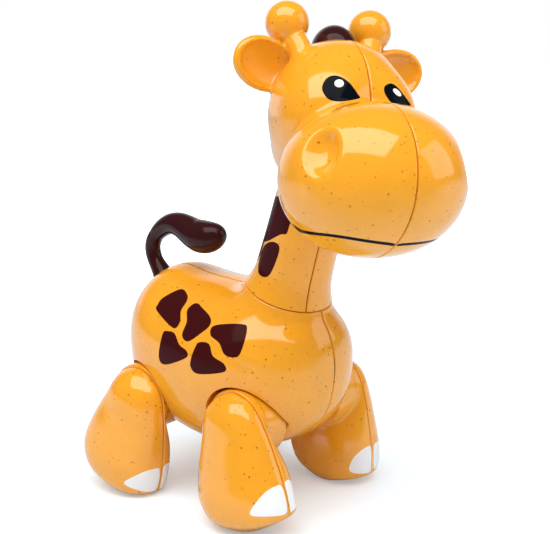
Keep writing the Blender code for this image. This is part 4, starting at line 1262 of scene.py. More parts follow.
@dataclass
class Body:
    """Barrel of the body with its collar, in two halves."""

    rear: float = -0.0360
    length: float = 0.0740
    half_width: float = 0.0242
    waist: float = 0.0438
    rise: float = 0.0224
    drop: float = 0.0283
    upper_squareness: float = 2.15
    lower_squareness: float = 2.40
    collar_radius: float = 0.0126
    collar_flare: float = 0.0072
    collar_depth: float = 0.0130
    collar_power: float = 1.4
    fillet: float = 0.0030
    hip_floor: float = 0.0115
    pocket_radius: float = 0.0111
    pocket_wall: float = 0.0021
    end_share: float = 0.0001
    evening: int = 200
    seat_radius: float = 0.0066
    seat_depth: float = 0.0024
    net_low: float = 0.0140
    net_high: float = 0.0700
    step: float = 0.00055
    station_shares: tuple[Triple, ...] = (
        (0.000, 0.000, 0.000),
        (0.460, 0.320, 0.340),
        (0.770, 0.660, 0.640),
        (0.990, 0.860, 0.850),
        (0.915, 0.950, 0.955),
        (0.880, 1.000, 1.000),
        (0.840, 0.968, 0.960),
        (0.760, 0.860, 0.860),
        (0.650, 0.670, 0.680),
        (0.420, 0.370, 0.390),
        (0.000, 0.000, 0.000),
    )
    patches: tuple[Mark, ...] = (
        Mark(Ink.BROWN, (
            (181, 289), (187.4, 295), (186.6, 301.6), (181, 311), (180, 322), (173, 328), (157, 311),
            (158, 304), (164, 297),
        )),
        Mark(Ink.BROWN, (
            (196, 303), (202.5, 308), (210.5, 317.6), (209.7, 325.5), (201.7, 332.7), (188, 341.5),
            (182, 335), (186.6, 322), (187.4, 309.6),
        )),
        Mark(Ink.BROWN, (
            (214.5, 325.5), (241.6, 324), (247, 330), (240, 354), (232, 357.4), (224, 354), (219, 343),
            (210.5, 335),
        )),
        Mark(Ink.BROWN, (
            (168, 331), (174.6, 333.5), (179.4, 344.7), (186.6, 351), (185.8, 358), (165, 364.6),
            (158.7, 356), (162.7, 333.5),
        )),
        Mark(Ink.BROWN, (
            (200, 342), (209, 344), (213, 356), (224, 364), (224, 372), (198.6, 374), (190.6, 367),
            (191.4, 357), (196, 345.5),
        )),
    )

    def barrel(self, points: Numbers) -> Numbers:
        """Rule of the lofted barrel.

        Args:
            points: Points in the toy's frame.

        Returns:
            Values of the rule.
        """
        x, y, z = points.T
        along = np.clip((x - self.rear) / self.length, self.end_share, 1 - self.end_share)
        places = np.arccos(1 - 2 * along) / math.pi
        rise, drop, width = read_curves(soft_curves(self.station_shares, self.evening), places)
        up = z - self.waist
        high = np.where(up > 0, self.rise * rise, self.drop * drop)
        squareness = np.where(up > 0, self.upper_squareness, self.lower_squareness)
        ring = section(y, up, self.half_width * width, high, squareness)
        beyond = x - (self.rear + self.length * along)
        return np.where(np.abs(beyond) < FUZZ, ring, np.hypot(np.maximum(ring, 0), beyond))

    def collar(self, points: Numbers) -> Numbers:
        """Rule of the flared collar under the neck.

        Args:
            points: Points in the toy's frame.

        Returns:
            Values of the rule.
        """
        place = FRAMES.toy().inverted() @ FRAMES.neck_base()
        local = into(points, place)
        depth = np.clip(-local[:, 2], 0, self.collar_depth)
        spread = self.collar_flare * (depth / self.collar_depth) ** self.collar_power
        wall = np.hypot(local[:, 0], local[:, 1]) - self.collar_radius - spread
        return np.maximum(wall, -local[:, 2] - self.collar_depth)

    def rule(self, points: Numbers) -> Numbers:
        """Rule of the whole outside, with the collar running on above its top."""
        return union(self.barrel(points), self.collar(points), self.fillet)

    def build(self) -> dict[Side, Piece]:
        """Builds the two halves.

        Returns:
            The halves, in place.
        """
        toy = FRAMES.toy()
        place = FRAMES.neck_base()
        up = (place.to_3x3() @ UP).normalized()
        top = toy.inverted() @ (place.translation - up * RUNNING_GAP / 2)

        def half(points: Numbers) -> Numbers:
            """The outside of the left half, ended just past the seam and the collar's top."""
            height = (points - np.array(top)) @ np.array(up)
            capped = np.maximum(self.rule(points), height - FAR / 2)
            return np.maximum(capped, -points[:, 1] - FAR / 2)

        def inside(points: Numbers) -> Numbers:
            """The hollow of the shell."""
            height = (points - np.array(top)) @ np.array(up)
            return np.maximum(self.rule(points) + self.pocket_wall, height + ClickUnit().plate)

        high = (self.rear + self.length, self.half_width, self.net_high)
        shell = net_piece("body_half", half, (self.rear, -FAR, self.net_low), high, self.step)
        trim(shell, self.rule, top, -up)
        trim(shell, self.rule, SEAM, LEFT)
        low = (self.rear, -self.half_width, self.net_low)
        hollow = net_piece("body_hollow", inside, low, high, HOLLOW_STEPS * self.step)
        for end in ("front", "rear"):
            for side in Side:
                radius = self.pocket_radius + self.pocket_wall
                cut(hollow, drum("cup", radius, -OVERRUN, ClickUnit().plate, self.hip(end, side)))
        tail = Tail().stem_place(toy.inverted() @ FRAMES.tail())
        cut(hollow, drum("seat", self.seat_radius, -self.seat_depth, OVERRUN, tail))
        cut(shell, hollow, turned("opening", Tail().opening_profile(self.seat_depth), tail))
        for end in ("front", "rear"):
            hip = self.hip(end, Side.LEFT)
            pocket = drum("pocket", self.pocket_radius, -OVERRUN, 0, hip)
            hole = drum("hole", ClickUnit().hub_radius + RUNNING_GAP, -OVERRUN, self.hip_floor / 2, hip)
            room = drum("room", ClickUnit().wheel_reach, ClickUnit().plate, ClickUnit().room_depth, hip)
            cut(shell, pocket, hole, room)
        neck = toy.inverted() @ place
        cut(shell, drum("hole", ClickUnit().hub_radius + RUNNING_GAP, -self.collar_depth, FAR, neck))
        return both_halves(shell, "body_half", toy)

    def hip(self, end: str, side: Side) -> Matrix:
        """Frame of a hip's pocket.

        Args:
            end: front or rear.
            side: Side of the hip.

        Returns:
            The frame, on the pocket's floor, +Z inwards, in the toy's frame.
        """
        spot = FRAMES.toy().inverted() @ FRAMES.joints[f"{end}_left_hip_swing"][0]
        turn = Matrix.Rotation(side.value * math.pi / 2, 4, "X")
        return Matrix.Translation((spot.x, side.value * self.hip_floor, spot.z)) @ turn

    def dress(self, halves: dict[Side, Piece]) -> None:
        """Prints the flanks' patches, mirrored on the left, and hands the halves over."""
        for side, half in halves.items():
            flip = FRAMES.onto_right(FRAMES.toy(), side)
            print_on(half, shared_prints(half, [(flip, self.patches)]))
        dress_halves(halves, "body")


@dataclass
class Neck:
    """Tapered tube of the neck, in two halves, with the mane's ridge down its back."""

    length: float = 0.0310
    radius: float = 0.0112
    top_radius: float = 0.0102
    foot_radius: float = 0.0126
    foot_share: float = 0.25
    mane_half_width: float = 0.0018
    mane_proud: float = 0.0011
    mane_end_share: float = 0.02
    mane_power: float = 0.35
    mane_start: float = 0.0060
    mane_end: float = 0.0265
    saddle_low: float = 0.0055
    saddle_high: float = 0.0275
    saddle_turn: float = math.radians(80)
    saddle_squareness: float = 5.0
    patches: tuple[Mark, ...] = (
        Mark(Ink.BROWN, (
            (278, 196), (298, 205), (290, 224), (286.6, 233.8), (280.4, 234.6), (267.9, 240.9), (262, 240),
            (258, 225), (266, 205),
        )),
        Mark(Ink.BROWN, (
            (273.2, 241.8), (279.5, 248.9), (271.4, 272.1), (264.3, 277.1), (258, 270.4), (263.4, 247.1),
        )),
    )
    mane_steps: int = 60
    mane_ring: int = 32
    end_places: Pair = (-0.1, 1.2)
    rounds: int = 3
    step: float = 0.00055

    def along(self, points: Numbers) -> Numbers:
        """Finds the place of each point along the bending neck.

        Args:
            points: Points in the neck's frame.

        Returns:
            Places, 0 at the neck's base and 1 at its top.
        """
        low, high = self.end_places
        level = points[:, 2] / self.length
        places = np.clip(level, 0, high)
        for _ in range(self.rounds):
            tilt = -FRAMES.lean() * places
            places = np.clip(level + points[:, 0] * np.tan(tilt) / self.length, low, high)
        return places

    def wall(self, places: Numbers) -> Numbers:
        """Radius of the neck at places along it."""
        inside = np.clip(places, 0, 1)
        foot = (self.foot_radius - self.radius) * np.maximum(0, 1 - inside / self.foot_share) ** 2
        return self.radius + (self.top_radius - self.radius) * np.sin(math.pi / 2 * inside) + foot

    def rule(self, points: Numbers) -> Numbers:
        """Rule of the tube, which runs on past both ends.

        Args:
            points: Points in the neck's frame.

        Returns:
            Values of the rule.
        """
        places = self.along(points)
        tilt = -FRAMES.lean() * places
        centre = self.length * places
        x = points[:, 0] * np.cos(tilt) - (points[:, 2] - centre) * np.sin(tilt)
        return np.hypot(x, points[:, 1]) - self.wall(places)

    def build(self) -> dict[Side, Piece]:
        """Builds the two halves.

        Returns:
            The halves, in place.
        """
        place = FRAMES.neck()
        gap = RUNNING_GAP / 2
        head = place.inverted() @ FRAMES.head()
        top_up = (head.to_3x3() @ UP).normalized()
        top = head.translation - top_up * gap

        def half(points: Numbers) -> Numbers:
            """The left half, ended a little past its flat faces."""
            high = (points - np.array(top)) @ np.array(top_up)
            form = np.maximum(self.rule(points), np.maximum(high - FAR / 2, -points[:, 2] - FAR / 4))
            return np.maximum(form, -points[:, 1] - FAR / 2)

        def inside(points: Numbers) -> Numbers:
            """The hollow of the tube."""
            high = (points - np.array(top)) @ np.array(top_up)
            form = np.maximum(self.rule(points), np.maximum(high, -points[:, 2]))
            return form + SHELL_WALL

        reach = self.foot_radius
        low = (-reach - FAR, -FAR, -FAR)
        far = (reach + FAR, reach, self.length + 2 * FAR)
        shell = net_piece("neck_half", half, low, far, self.step)
        for spot, away in ((UP * gap, UP), (top, -top_up), (SEAM, LEFT)):
            trim(shell, self.rule, spot, away)
        low = (low[0], -reach, low[2])
        cut(shell, net_piece("neck_hollow", inside, low, far, HOLLOW_STEPS * self.step))
        for unit in (Matrix.Rotation(math.pi, 4, "X"), head):
            turn = Matrix.Rotation(-math.pi / 2, 4, "X")
            slab = drum("slab", OVERRUN, -OVERRUN, SEAM_GAP / 2, turn)
            combine(shell, cut(ClickUnit().hub(unit, True), slab), "UNION")
        cut(shell, self.mane_mesh("mane_groove", SEAM_GAP, None))
        return both_halves(shell, "neck_half", place)

    def mane_rule(self, nodes: NodeWriter, share: Socket, sizes: dict[str, Socket]) -> Socket:
        """Radius of the mane's ridge, low at both ends.

        Args:
            nodes: Writer of the ridge's tree.
            share: Place along the ridge, from 0 to 1.
            sizes: The ridge's sizes, by name.

        Returns:
            The radius.
        """
        inner = nodes.math("MAXIMUM", share, sizes["End Share"])
        inner = nodes.math("MINIMUM", inner, nodes.math("SUBTRACT", 1, sizes["End Share"]))
        rise = nodes.math("SINE", nodes.math("MULTIPLY", inner, math.pi))
        rise = nodes.math("POWER", rise, sizes["End Power"])
        return nodes.math("MULTIPLY_ADD", sizes["Proud"], rise, sizes["Clearance"])

    def mane_mesh(self, name: str, gap: float, finish: Optional[Material]) -> Piece:
        """Ridge of the mane in the neck's frame; a gap makes it the groove that holds it.

        Args:
            name: Name of the object.
            gap: How much larger than the ridge it is.
            finish: Its material, or None for the groove.

        Returns:
            The new object.
        """
        shares = np.linspace(0, 1, self.mane_steps + 1)
        spots = (self.mane_start - gap + (self.mane_end - self.mane_start + 2 * gap) * shares) / self.length
        tilts = -FRAMES.lean() * spots
        radii = self.wall(spots)
        line = np.stack([-radii * np.cos(tilts), 0 * spots, spots * self.length + radii * np.sin(tilts)], 1)
        sizes = {
            "Proud": self.mane_proud,
            "Clearance": gap,
            "End Share": self.mane_end_share,
            "End Power": self.mane_power,
        }
        flatness = (self.mane_half_width + gap) / (self.mane_proud + gap)
        return Sweep("mane_ridge", sizes, self.mane_rule, self.mane_ring, flatness).run(
            name, line, shares, finish
        )

    def build_mane(self, finish: Material) -> Piece:
        """Builds the mane, in place."""
        ridge = self.mane_mesh("mane", 0.0, finish)
        ridge.data.transform(FRAMES.neck())
        return ridge

    def saddle(self, piece: Piece) -> Numbers:
        """Rule of the printed band that runs down the neck on both sides of the mane.

        Args:
            piece: A half of the neck, in place.

        Returns:
            Values of the rule at the half's points.
        """
        local = into(rows_of(piece, "co"), FRAMES.neck())
        turn = np.abs(np.arctan2(local[:, 1], -local[:, 0]))
        across = turn * self.radius
        middle = (self.saddle_low + self.saddle_high) / 2
        half = (self.saddle_high - self.saddle_low) / 2
        wide = np.full(len(local), self.saddle_turn * self.radius)
        return section(across, local[:, 2] - middle, wide, half, np.full(len(local), self.saddle_squareness))

    def dress(self, halves: dict[Side, Piece], mane: Piece) -> None:
        """Prints the patches and the band at the back, and hands the pieces over.

        Args:
            halves: The halves, in place.
            mane: The mane's ridge, in place.
        """
        for side, half in halves.items():
            inks = shared_prints(half, [(FRAMES.onto_right(FRAMES.neck(), side), self.patches)])
            inks[Ink.BROWN] = np.clip(np.minimum(inks[Ink.BROWN], self.saddle(half)), -FAR, FAR)
            print_on(half, inks)
        dress_halves(halves, "neck")
        set_up(mane, "mane_ridge", "neck_mane", "neck", BROWN)


@dataclass
class Head:
    """Cranium and muzzle in two halves, with horns, scooped ears, nostrils and a tuft of hair."""

    cranium_at: Triple = (0.0096, 0, 0.0212)
    cranium_sizes: Triple = (0.0172, 0.0177, 0.0196)
    cranium_rear_share: float = 1.18
    muzzle_at: Triple = (0.0315, 0, 0.0063)
    muzzle_sizes: Triple = (0.0216, 0.0240, 0.0193)
    muzzle_pitch: float = math.radians(16)
    brow_at: Triple = (0.0165, 0.0072, 0.0213)
    brow_sizes: Triple = (0.0114, 0.0104, 0.0116)
    nape_at: Triple = (0.0010, 0, 0.0105)
    nape_sizes: Triple = (0.0120, 0.0124, 0.0100)
    squareness: float = 2.1
    brow_blend: float = 0.0040
    brow_fillet: float = 0.0020
    throat_radius: float = 0.0098
    throat_height: float = 0.0130
    throat_squareness: float = 2.4
    throat_fillet: float = 0.0016
    relief_radius: float = 0.0150
    horn_ball_at: Triple = (-0.0003, 0.0124, 0.0440)
    horn_ball_radius: float = 0.0058
    horn_foot_at: Triple = (0.0068, 0.0096, 0.0345)
    horn_radius: float = 0.0031
    horn_fillet: float = 0.0011
    horn_neck_fillet: float = 0.0004
    ear_at: Triple = (0.0020, 0.0190, 0.0328)
    ear_sizes: Triple = (0.0033, 0.0093, 0.0070)
    ear_scoop_depth: float = 0.0026
    ear_rim: float = 0.0013
    ear_lift: float = math.radians(16)
    ear_toe: float = math.radians(6)
    ear_fillet: float = 0.0012
    nostril_at: Triple = (0.0408, 0.0203, 0.0128)
    nostril_sizes: Triple = (0.0040, 0.0047, 0.0062)
    nostril_turn: float = math.radians(43)
    nostril_lift: float = math.radians(30)
    nostril_sink: float = 0.0029
    nostril_wall: float = 0.0016
    nostril_fillet: float = 0.0019
    tuft_at: Triple = (0.0036, 0, 0.0376)
    tuft_sizes: Triple = (0.0075, 0.0058, 0.0070)
    tuft_root_radius: float = 0.0044
    tuft_root_depth: float = 0.0038
    eye_reach: float = 0.0165
    roundness: float = 2.0
    step: float = 0.00045
    tuft_step: float = 0.00035
    hollow_steps: float = 2.5
    right_eye: tuple[Mark, ...] = (
        Mark(Ink.DARK, (
            (321.9, 88.5), (324.5, 80.8), (329.1, 76.6), (335.2, 75.4), (342.1, 77.4), (348.3, 81.6),
            (353.6, 87.7), (357.8, 93.8), (360.3, 97.6), (355.9, 99.3), (348.3, 100.7), (339.1, 101.6),
            (330.7, 100.3), (325.3, 96.1),
        )),
        Mark(Ink.WHITE, (
            (334.4, 83.3), (335.8, 80.5), (339.2, 79.3), (342.6, 80.5), (344.0, 83.3), (342.6, 86.1),
            (339.2, 87.3), (335.8, 86.1),
        )),
    )
    left_eye: tuple[Mark, ...] = (
        Mark(Ink.DARK, (
            (384, 88.5), (385.4, 85.4), (390.3, 83.3), (394.9, 85), (399.5, 89.2), (404.1, 95.3),
            (408.7, 101.5), (410.8, 105.5), (404.1, 105.0), (395.7, 104.0), (390.3, 101.6), (386.5, 96.5),
            (384.4, 92.3),
        )),
        Mark(Ink.WHITE, (
            (393.3, 88.8), (395.6, 88.6), (398.8, 90.7), (401.1, 93.8), (401.1, 96.0), (398.8, 96.2),
            (395.6, 94.1), (393.3, 91.0),
        )),
    )
    mouth: tuple[Mark, ...] = (
        Mark(Ink.DARK, (
            (290.9, 223.9), (296.5, 228.2), (303, 231.6), (316, 233.8), (330.5, 235.4), (345, 237.5),
            (359.8, 239.9), (375, 242.2), (389, 244), (397, 245.2),
        ), width=3.0),
    )

    def core(self, points: Numbers) -> Numbers:
        """Rule of cranium, brow, nape and muzzle alone.

        Args:
            points: Points in the head's frame.

        Returns:
            Values of the rule.
        """
        local = points - np.array(self.cranium_at)
        cranium = egg(local, self.cranium_sizes, self.squareness, self.cranium_rear_share)
        folded = np.stack([points[:, 0], np.abs(points[:, 1]), points[:, 2]], 1)
        brow = egg(folded - np.array(self.brow_at), self.brow_sizes, self.roundness)
        nape = egg(points - np.array(self.nape_at), self.nape_sizes, self.roundness)
        cranium = union(union(cranium, nape, self.brow_blend), brow, self.brow_blend)
        tilt = Matrix.Translation(self.muzzle_at) @ Matrix.Rotation(-self.muzzle_pitch, 4, "Y")
        muzzle = egg(into(points, tilt), self.muzzle_sizes, self.squareness)
        return union(cranium, muzzle, self.brow_fillet)

    def horn(self, points: Numbers) -> Numbers:
        """Rule of the left horn: a stalk with a ball on top.

        Args:
            points: Points in the head's frame.

        Returns:
            Values of the rule.
        """
        ball = np.linalg.norm(points - np.array(self.horn_ball_at), axis=1) - self.horn_ball_radius
        stalk = rod(points, Vector(self.horn_foot_at), Vector(self.horn_ball_at), self.horn_radius)
        return union(ball, stalk, self.horn_neck_fillet)

    def ear(self, points: Numbers) -> Numbers:
        """Rule of the left ear, with its scooped front.

        Args:
            points: Points in the head's frame.

        Returns:
            Values of the rule.
        """
        turn = Matrix.Rotation(self.ear_lift, 4, "X") @ Matrix.Rotation(-self.ear_toe, 4, "Z")
        local = into(points, Matrix.Translation(self.ear_at) @ turn)
        thick, reach, high = self.ear_sizes
        plate = egg(local, self.ear_sizes, self.squareness)
        scoop_sizes = (self.ear_scoop_depth, reach - self.ear_rim, high - self.ear_rim)
        scoop = egg(local - np.array((thick / 2, 0, 0)), scoop_sizes, self.roundness)
        return subtract(plate, scoop, self.ear_rim)

    def nostril(self, points: Numbers) -> Numbers:
        """Rule of the dimple in the left cheek of the muzzle.

        Args:
            points: Points in the head's frame.

        Returns:
            Values of the rule.
        """
        turn = Matrix.Rotation(self.nostril_turn, 4, "Z") @ Matrix.Rotation(-self.nostril_lift, 4, "Y")
        local = into(points, Matrix.Translation(self.nostril_at) @ turn)
        middle = np.array((self.nostril_sizes[0] - self.nostril_sink, 0, 0))
        return egg(local - middle, self.nostril_sizes, self.roundness)

    def rule(self, points: Numbers) -> Numbers:
        """Rule of the whole outside of the left half.

        Args:
            points: Points in the head's frame.

        Returns:
            Values of the rule.
        """
        form = subtract(self.core(points), self.nostril(points), self.nostril_fillet)
        form = union(form, self.horn(points), self.horn_fillet)
        form = union(form, self.ear(points), self.ear_fillet)
        throat_sizes = (self.throat_radius, self.throat_radius, self.throat_height)
        form = union(form, egg(points, throat_sizes, self.throat_squareness), self.throat_fillet)
        round_wall = np.hypot(points[:, 0], points[:, 1])
        relief = np.maximum(round_wall - self.relief_radius, points[:, 2] - RUNNING_GAP / 2)
        return np.maximum(form, -relief)

    def build(self) -> dict[Side, Piece]:
        """Builds the two halves.

        Returns:
            The halves, in place.
        """
        def half(points: Numbers) -> Numbers:
            """The left half, ended just past the seam."""
            return np.maximum(self.rule(points), -points[:, 1] - FAR / 2)

        def inside(points: Numbers) -> Numbers:
            """The hollow, above the plate that stands on the neck."""
            round_wall = np.hypot(points[:, 0], points[:, 1])
            plate_radius = self.relief_radius + SHELL_WALL
            plate = np.maximum(round_wall - plate_radius, points[:, 2] - ClickUnit().plate)
            mirrored = points * np.array((1, -1, 1))
            dimples = np.minimum(self.nostril(points), self.nostril(mirrored)) - self.nostril_wall
            return np.maximum(np.maximum(self.core(points) + SHELL_WALL, -dimples), -plate)

        front = self.muzzle_at[0] + self.muzzle_sizes[0] + FAR
        back = self.cranium_at[0] - self.cranium_sizes[0] * self.cranium_rear_share - FAR
        top = self.horn_ball_at[2] + self.horn_ball_radius + FAR
        wide = self.ear_at[1] + self.ear_sizes[1] + FAR
        low = (back, -FAR, self.muzzle_at[2] - self.muzzle_sizes[2] - 2 * FAR)
        high = (front, wide, top)
        shell = net_piece("head_half", half, low, high, self.step)
        trim(shell, self.rule, SEAM, LEFT)
        low = (back, -self.muzzle_sizes[1], low[2])
        hollow = net_piece("head_hollow", inside, low, high, self.hollow_steps * self.step)
        radius = ClickUnit().hub_radius + RUNNING_GAP
        hole = drum("hole", radius, -self.throat_height, self.throat_height, Matrix.Identity(4))
        cut(shell, hollow, hole, self.tuft_mesh("tuft_seat", RUNNING_GAP))
        return both_halves(shell, "head_half", FRAMES.head())

    def tuft_mesh(self, name: str, gap: float) -> Piece:
        """Dome of hair on its root, in the head's frame; a gap makes it the seat that holds it.

        Args:
            name: Name of the object.
            gap: How much larger than the tuft it is.

        Returns:
            The new object.
        """
        reach, wide, rise = (size + gap for size in self.tuft_sizes)
        spot = Vector(self.tuft_at)

        def rule(points: Numbers) -> Numbers:
            """The dome and its root."""
            local = points - np.array(spot)
            dome = np.maximum(egg(local, (reach, wide, rise), self.roundness), -local[:, 2] - gap)
            root = np.hypot(local[:, 0], local[:, 1]) - self.tuft_root_radius - gap
            deep = np.maximum(-local[:, 2] - self.tuft_root_depth - gap, local[:, 2] - rise / 2)
            return np.minimum(dome, np.maximum(root, deep))

        margin = Vector((FAR, FAR, FAR))
        low = spot - Vector((reach, wide, self.tuft_root_depth)) - margin
        high = spot + Vector((reach, wide, rise)) + margin
        return net_piece(name, rule, low, high, self.tuft_step)

    def build_tuft(self) -> Piece:
        """Builds the tuft, in place."""
        tuft = self.tuft_mesh("hair_tuft", 0.0)
        tuft.data.transform(FRAMES.head())
        return tuft

    def past_brow(self, piece: Piece) -> Numbers:
        """Tells which points of a half lie too far from its brow for an eye.

        Args:
            piece: A half of the head, in place.

        Returns:
            True for each such point.
        """
        local = into(rows_of(piece, "co"), FRAMES.head())
        local[:, 1] = np.abs(local[:, 1])
        return np.linalg.norm(local - np.array(self.brow_at), axis=1) > self.eye_reach

    def dress(self, halves: dict[Side, Piece], tuft: Piece) -> None:
        """Prints the eyes and the mouth and hands the pieces over.

        Args:
            halves: The halves, in place.
            tuft: The tuft, in place.
        """
        eyes = {Side.LEFT: self.left_eye, Side.RIGHT: self.right_eye}
        for side, half in halves.items():
            mouth = shared_prints(half, [(FRAMES.onto_right(FRAMES.head(), side), self.mouth)])
            eye = shared_prints(half, [(Matrix.Identity(4), eyes[side])])
            away = self.past_brow(half)
            print_on(half, {ink: np.minimum(mouth[ink], np.where(away, FAR, eye[ink])) for ink in Ink})
        dress_halves(halves, "head")
        set_up(tuft, "hair_tuft", "head_tuft", "head", BROWN)


@dataclass
class Leg:
    """Teardrop leg in an outer and an inner half, with the round hip disc on the inner one."""

    crown: float = 0.0086
    height: float = 0.0288
    front: float = 0.0141
    back: float = 0.0160
    outer_bulge: float = 0.0112
    inner_bulge: float = 0.0087
    squareness: float = 2.26
    split: float = 0.0222
    hip_floor: float = 0.0115
    disc_radius: float = 0.0103
    disc_edge: float = 0.0066
    dome_round: float = 0.06
    evening: int = 400
    cap_radius: float = 0.0097
    cap_ahead: float = 0.0005
    cap_reach: float = 0.0074
    cap_inner: float = 0.0205
    fillet: float = 0.0016
    wall: float = 0.0020
    bore_depth: float = 0.0016
    bore_sides: int = 36
    crown_share: float = 0.001
    least_bulge: float = 0.00001
    step: float = 0.00055
    station_shares: tuple[tuple[float, float, float, float, float], ...] = (
        (0.000, 0.180, -0.060, 0.000, 0.000),
        (0.027, 0.480, 0.300, 0.320, 0.120),
        (0.096, 0.640, 0.450, 0.540, 0.170),
        (0.203, 0.770, 0.590, 0.660, 0.240),
        (0.336, 0.870, 0.730, 0.730, 0.460),
        (0.470, 0.920, 0.860, 0.830, 0.800),
        (0.603, 0.970, 0.950, 0.920, 0.980),
        (0.724, 1.000, 1.000, 1.000, 1.000),
        (0.860, 0.985, 0.900, 0.960, 1.000),
        (0.925, 0.930, 0.720, 0.830, 0.950),
        (0.975, 0.510, 0.445, 0.580, 0.800),
        (1.000, 0.262, 0.232, 0.400, 0.640),
    )
    outer_toes: tuple[Mark, ...] = (
        Mark(Ink.WHITE, (
            (276, 486), (282, 487), (287, 507), (283, 515), (257, 516.5), (250, 512), (263.5, 494),
        )),
    )
    inner_toes: tuple[Mark, ...] = (
        Mark(Ink.WHITE, (
            (369, 446), (372, 452), (372, 468), (368, 473), (353.5, 473), (349, 468), (355.5, 455.5),
        )),
    )

    def drop(self, points: Numbers) -> Numbers:
        """Rule of the whole teardrop.

        Args:
            points: Points in the frame of a left leg.

        Returns:
            Values of the rule.
        """
        x, y, z = points.T
        table = soft_curves(self.station_shares, self.evening)[1]
        down = np.clip((self.crown - z) / (self.height + self.crown), self.crown_share, 1)
        front, back, outer, inner = (np.interp(down, table[:, 0], column) for column in table.T[1:])
        ahead = self.front * front
        behind = -self.back * back
        bulge = np.where(y > self.split, self.outer_bulge * outer, self.inner_bulge * inner)
        bulge = np.maximum(bulge, self.least_bulge)
        middle = (ahead + behind) / 2
        wide = (ahead - behind) / 2
        form = section(x - middle, y - self.split, wide, bulge, np.full(len(x), self.squareness))
        beyond = np.maximum(y - self.split, 0) * self.cap_radius / self.cap_reach
        cap = np.sqrt((x - self.cap_ahead) ** 2 + z**2 + beyond**2) - self.cap_radius
        cap = np.maximum(cap, self.cap_inner - y)
        return union(np.maximum(form, z - self.crown), cap, self.fillet)

    def dome(self, points: Numbers) -> Numbers:
        """Rule of the turned shoulder between the hip disc and the split plane.

        Args:
            points: Points in the frame of a left leg.

        Returns:
            Values of the rule.
        """
        round_wall = np.hypot(points[:, 0], points[:, 2])
        face = self.hip_floor + RUNNING_GAP
        edge = face + self.disc_edge
        share = np.clip((points[:, 1] - edge) / (self.split - edge), 0, 1)
        radius = self.disc_radius * np.sqrt(1 - share**2 * self.dome_round)
        return np.maximum(round_wall - radius, face - points[:, 1])

    def inner_rule(self, points: Numbers) -> Numbers:
        """Rule of the teardrop joined with its hip shoulder."""
        return union(self.drop(points), self.dome(points), self.fillet)

    def build(self) -> dict[str, Piece]:
        """Builds the outer and the inner half of a left leg, in the leg's frame.

        Returns:
            The two halves, by name.
        """
        sole = UP * -self.height
        low = (-self.back - FAR, 0, -self.height - FAR)
        high = (self.front + FAR, self.split + self.outer_bulge + FAR, self.disc_radius + FAR)
        hip = Matrix.Translation((0, self.hip_floor, 0)) @ Matrix.Rotation(math.pi / 2, 4, "X")

        def room(points: Numbers) -> Numbers:
            """The hollow, clear of the hip disc's shoulder and of the sole."""
            form = np.maximum(self.drop(points) + self.wall, self.wall - self.height - points[:, 2])
            return np.maximum(form, -self.dome(points))

        def outer(points: Numbers) -> Numbers:
            """The outer half, ended just past the split and the sole."""
            ended = np.maximum(self.split - FAR / 2 - points[:, 1], -self.height - FAR / 2 - points[:, 2])
            return np.maximum(self.drop(points), ended)

        def inner(points: Numbers) -> Numbers:
            """The inner half, ended just past the split and the sole."""
            ended = np.maximum(points[:, 1] - self.split - FAR / 2, -self.height - FAR / 2 - points[:, 2])
            return np.maximum(self.inner_rule(points), ended)

        outer_low = (low[0], self.split - 2 * FAR, low[2])
        outer_half = net_piece("leg_outer", outer, outer_low, high, self.step)
        trim(outer_half, self.drop, sole, UP)
        trim(outer_half, self.drop, Vector((0, self.split + SEAM_GAP / 2, 0)), LEFT)
        hollow = net_piece("leg_room", room, low, high, HOLLOW_STEPS * self.step)
        combine(outer_half, hollow, "DIFFERENCE", keep=True)
        inner_low = (low[0], self.hip_floor - FAR, low[2])
        inner_high = (high[0], self.split + 2 * FAR, high[2])
        inner_half = net_piece("leg_inner", inner, inner_low, inner_high, self.step)
        trim(inner_half, self.inner_rule, sole, UP)
        trim(inner_half, self.inner_rule, Vector((0, self.split - SEAM_GAP / 2, 0)), -LEFT)
        combine(cut(inner_half, hollow), ClickUnit().hub(hip, False), "UNION")
        radius = ClickUnit().bore_radius
        cut(inner_half, drum("bore", radius, -self.bore_depth, OVERRUN, hip, self.bore_sides))
        return {"outer": outer_half, "inner": inner_half}

    def dress(self, halves: dict[str, Piece], end: str, side: Side) -> None:
        """Copies the halves to one hip, prints the toes and hands them over.

        Args:
            halves: The two halves of a left leg, in the leg's frame.
            end: front or rear.
            side: Side of the leg.
        """
        flip = MIRROR if side is Side.RIGHT else Matrix.Identity(4)
        place = FRAMES.leg(end, side) @ flip
        outer = FRAMES.leg("front", Side.RIGHT) @ MIRROR @ place.inverted()
        inner = FRAMES.leg("front", Side.LEFT) @ place.inverted()
        leg = f"{end}_{side.name.lower()}"
        for name, half in halves.items():
            piece = twin(half, f"{leg}_leg_{name}", place)
            print_on(piece, shared_prints(piece, [(outer, self.outer_toes), (inner, self.inner_toes)]))
            set_up(piece, f"{leg}_leg_{name}", f"{leg}_leg_{name}_shell", f"{leg}_leg", ORANGE)

    def dress_all(self, halves: dict[str, Piece]) -> None:
        """Sets up the four legs and drops the pattern halves."""
        for end in ("front", "rear"):
            for side in Side:
                self.dress(halves, end, side)
        for half in halves.values():
            bpy.data.objects.remove(half, do_unlink=True)


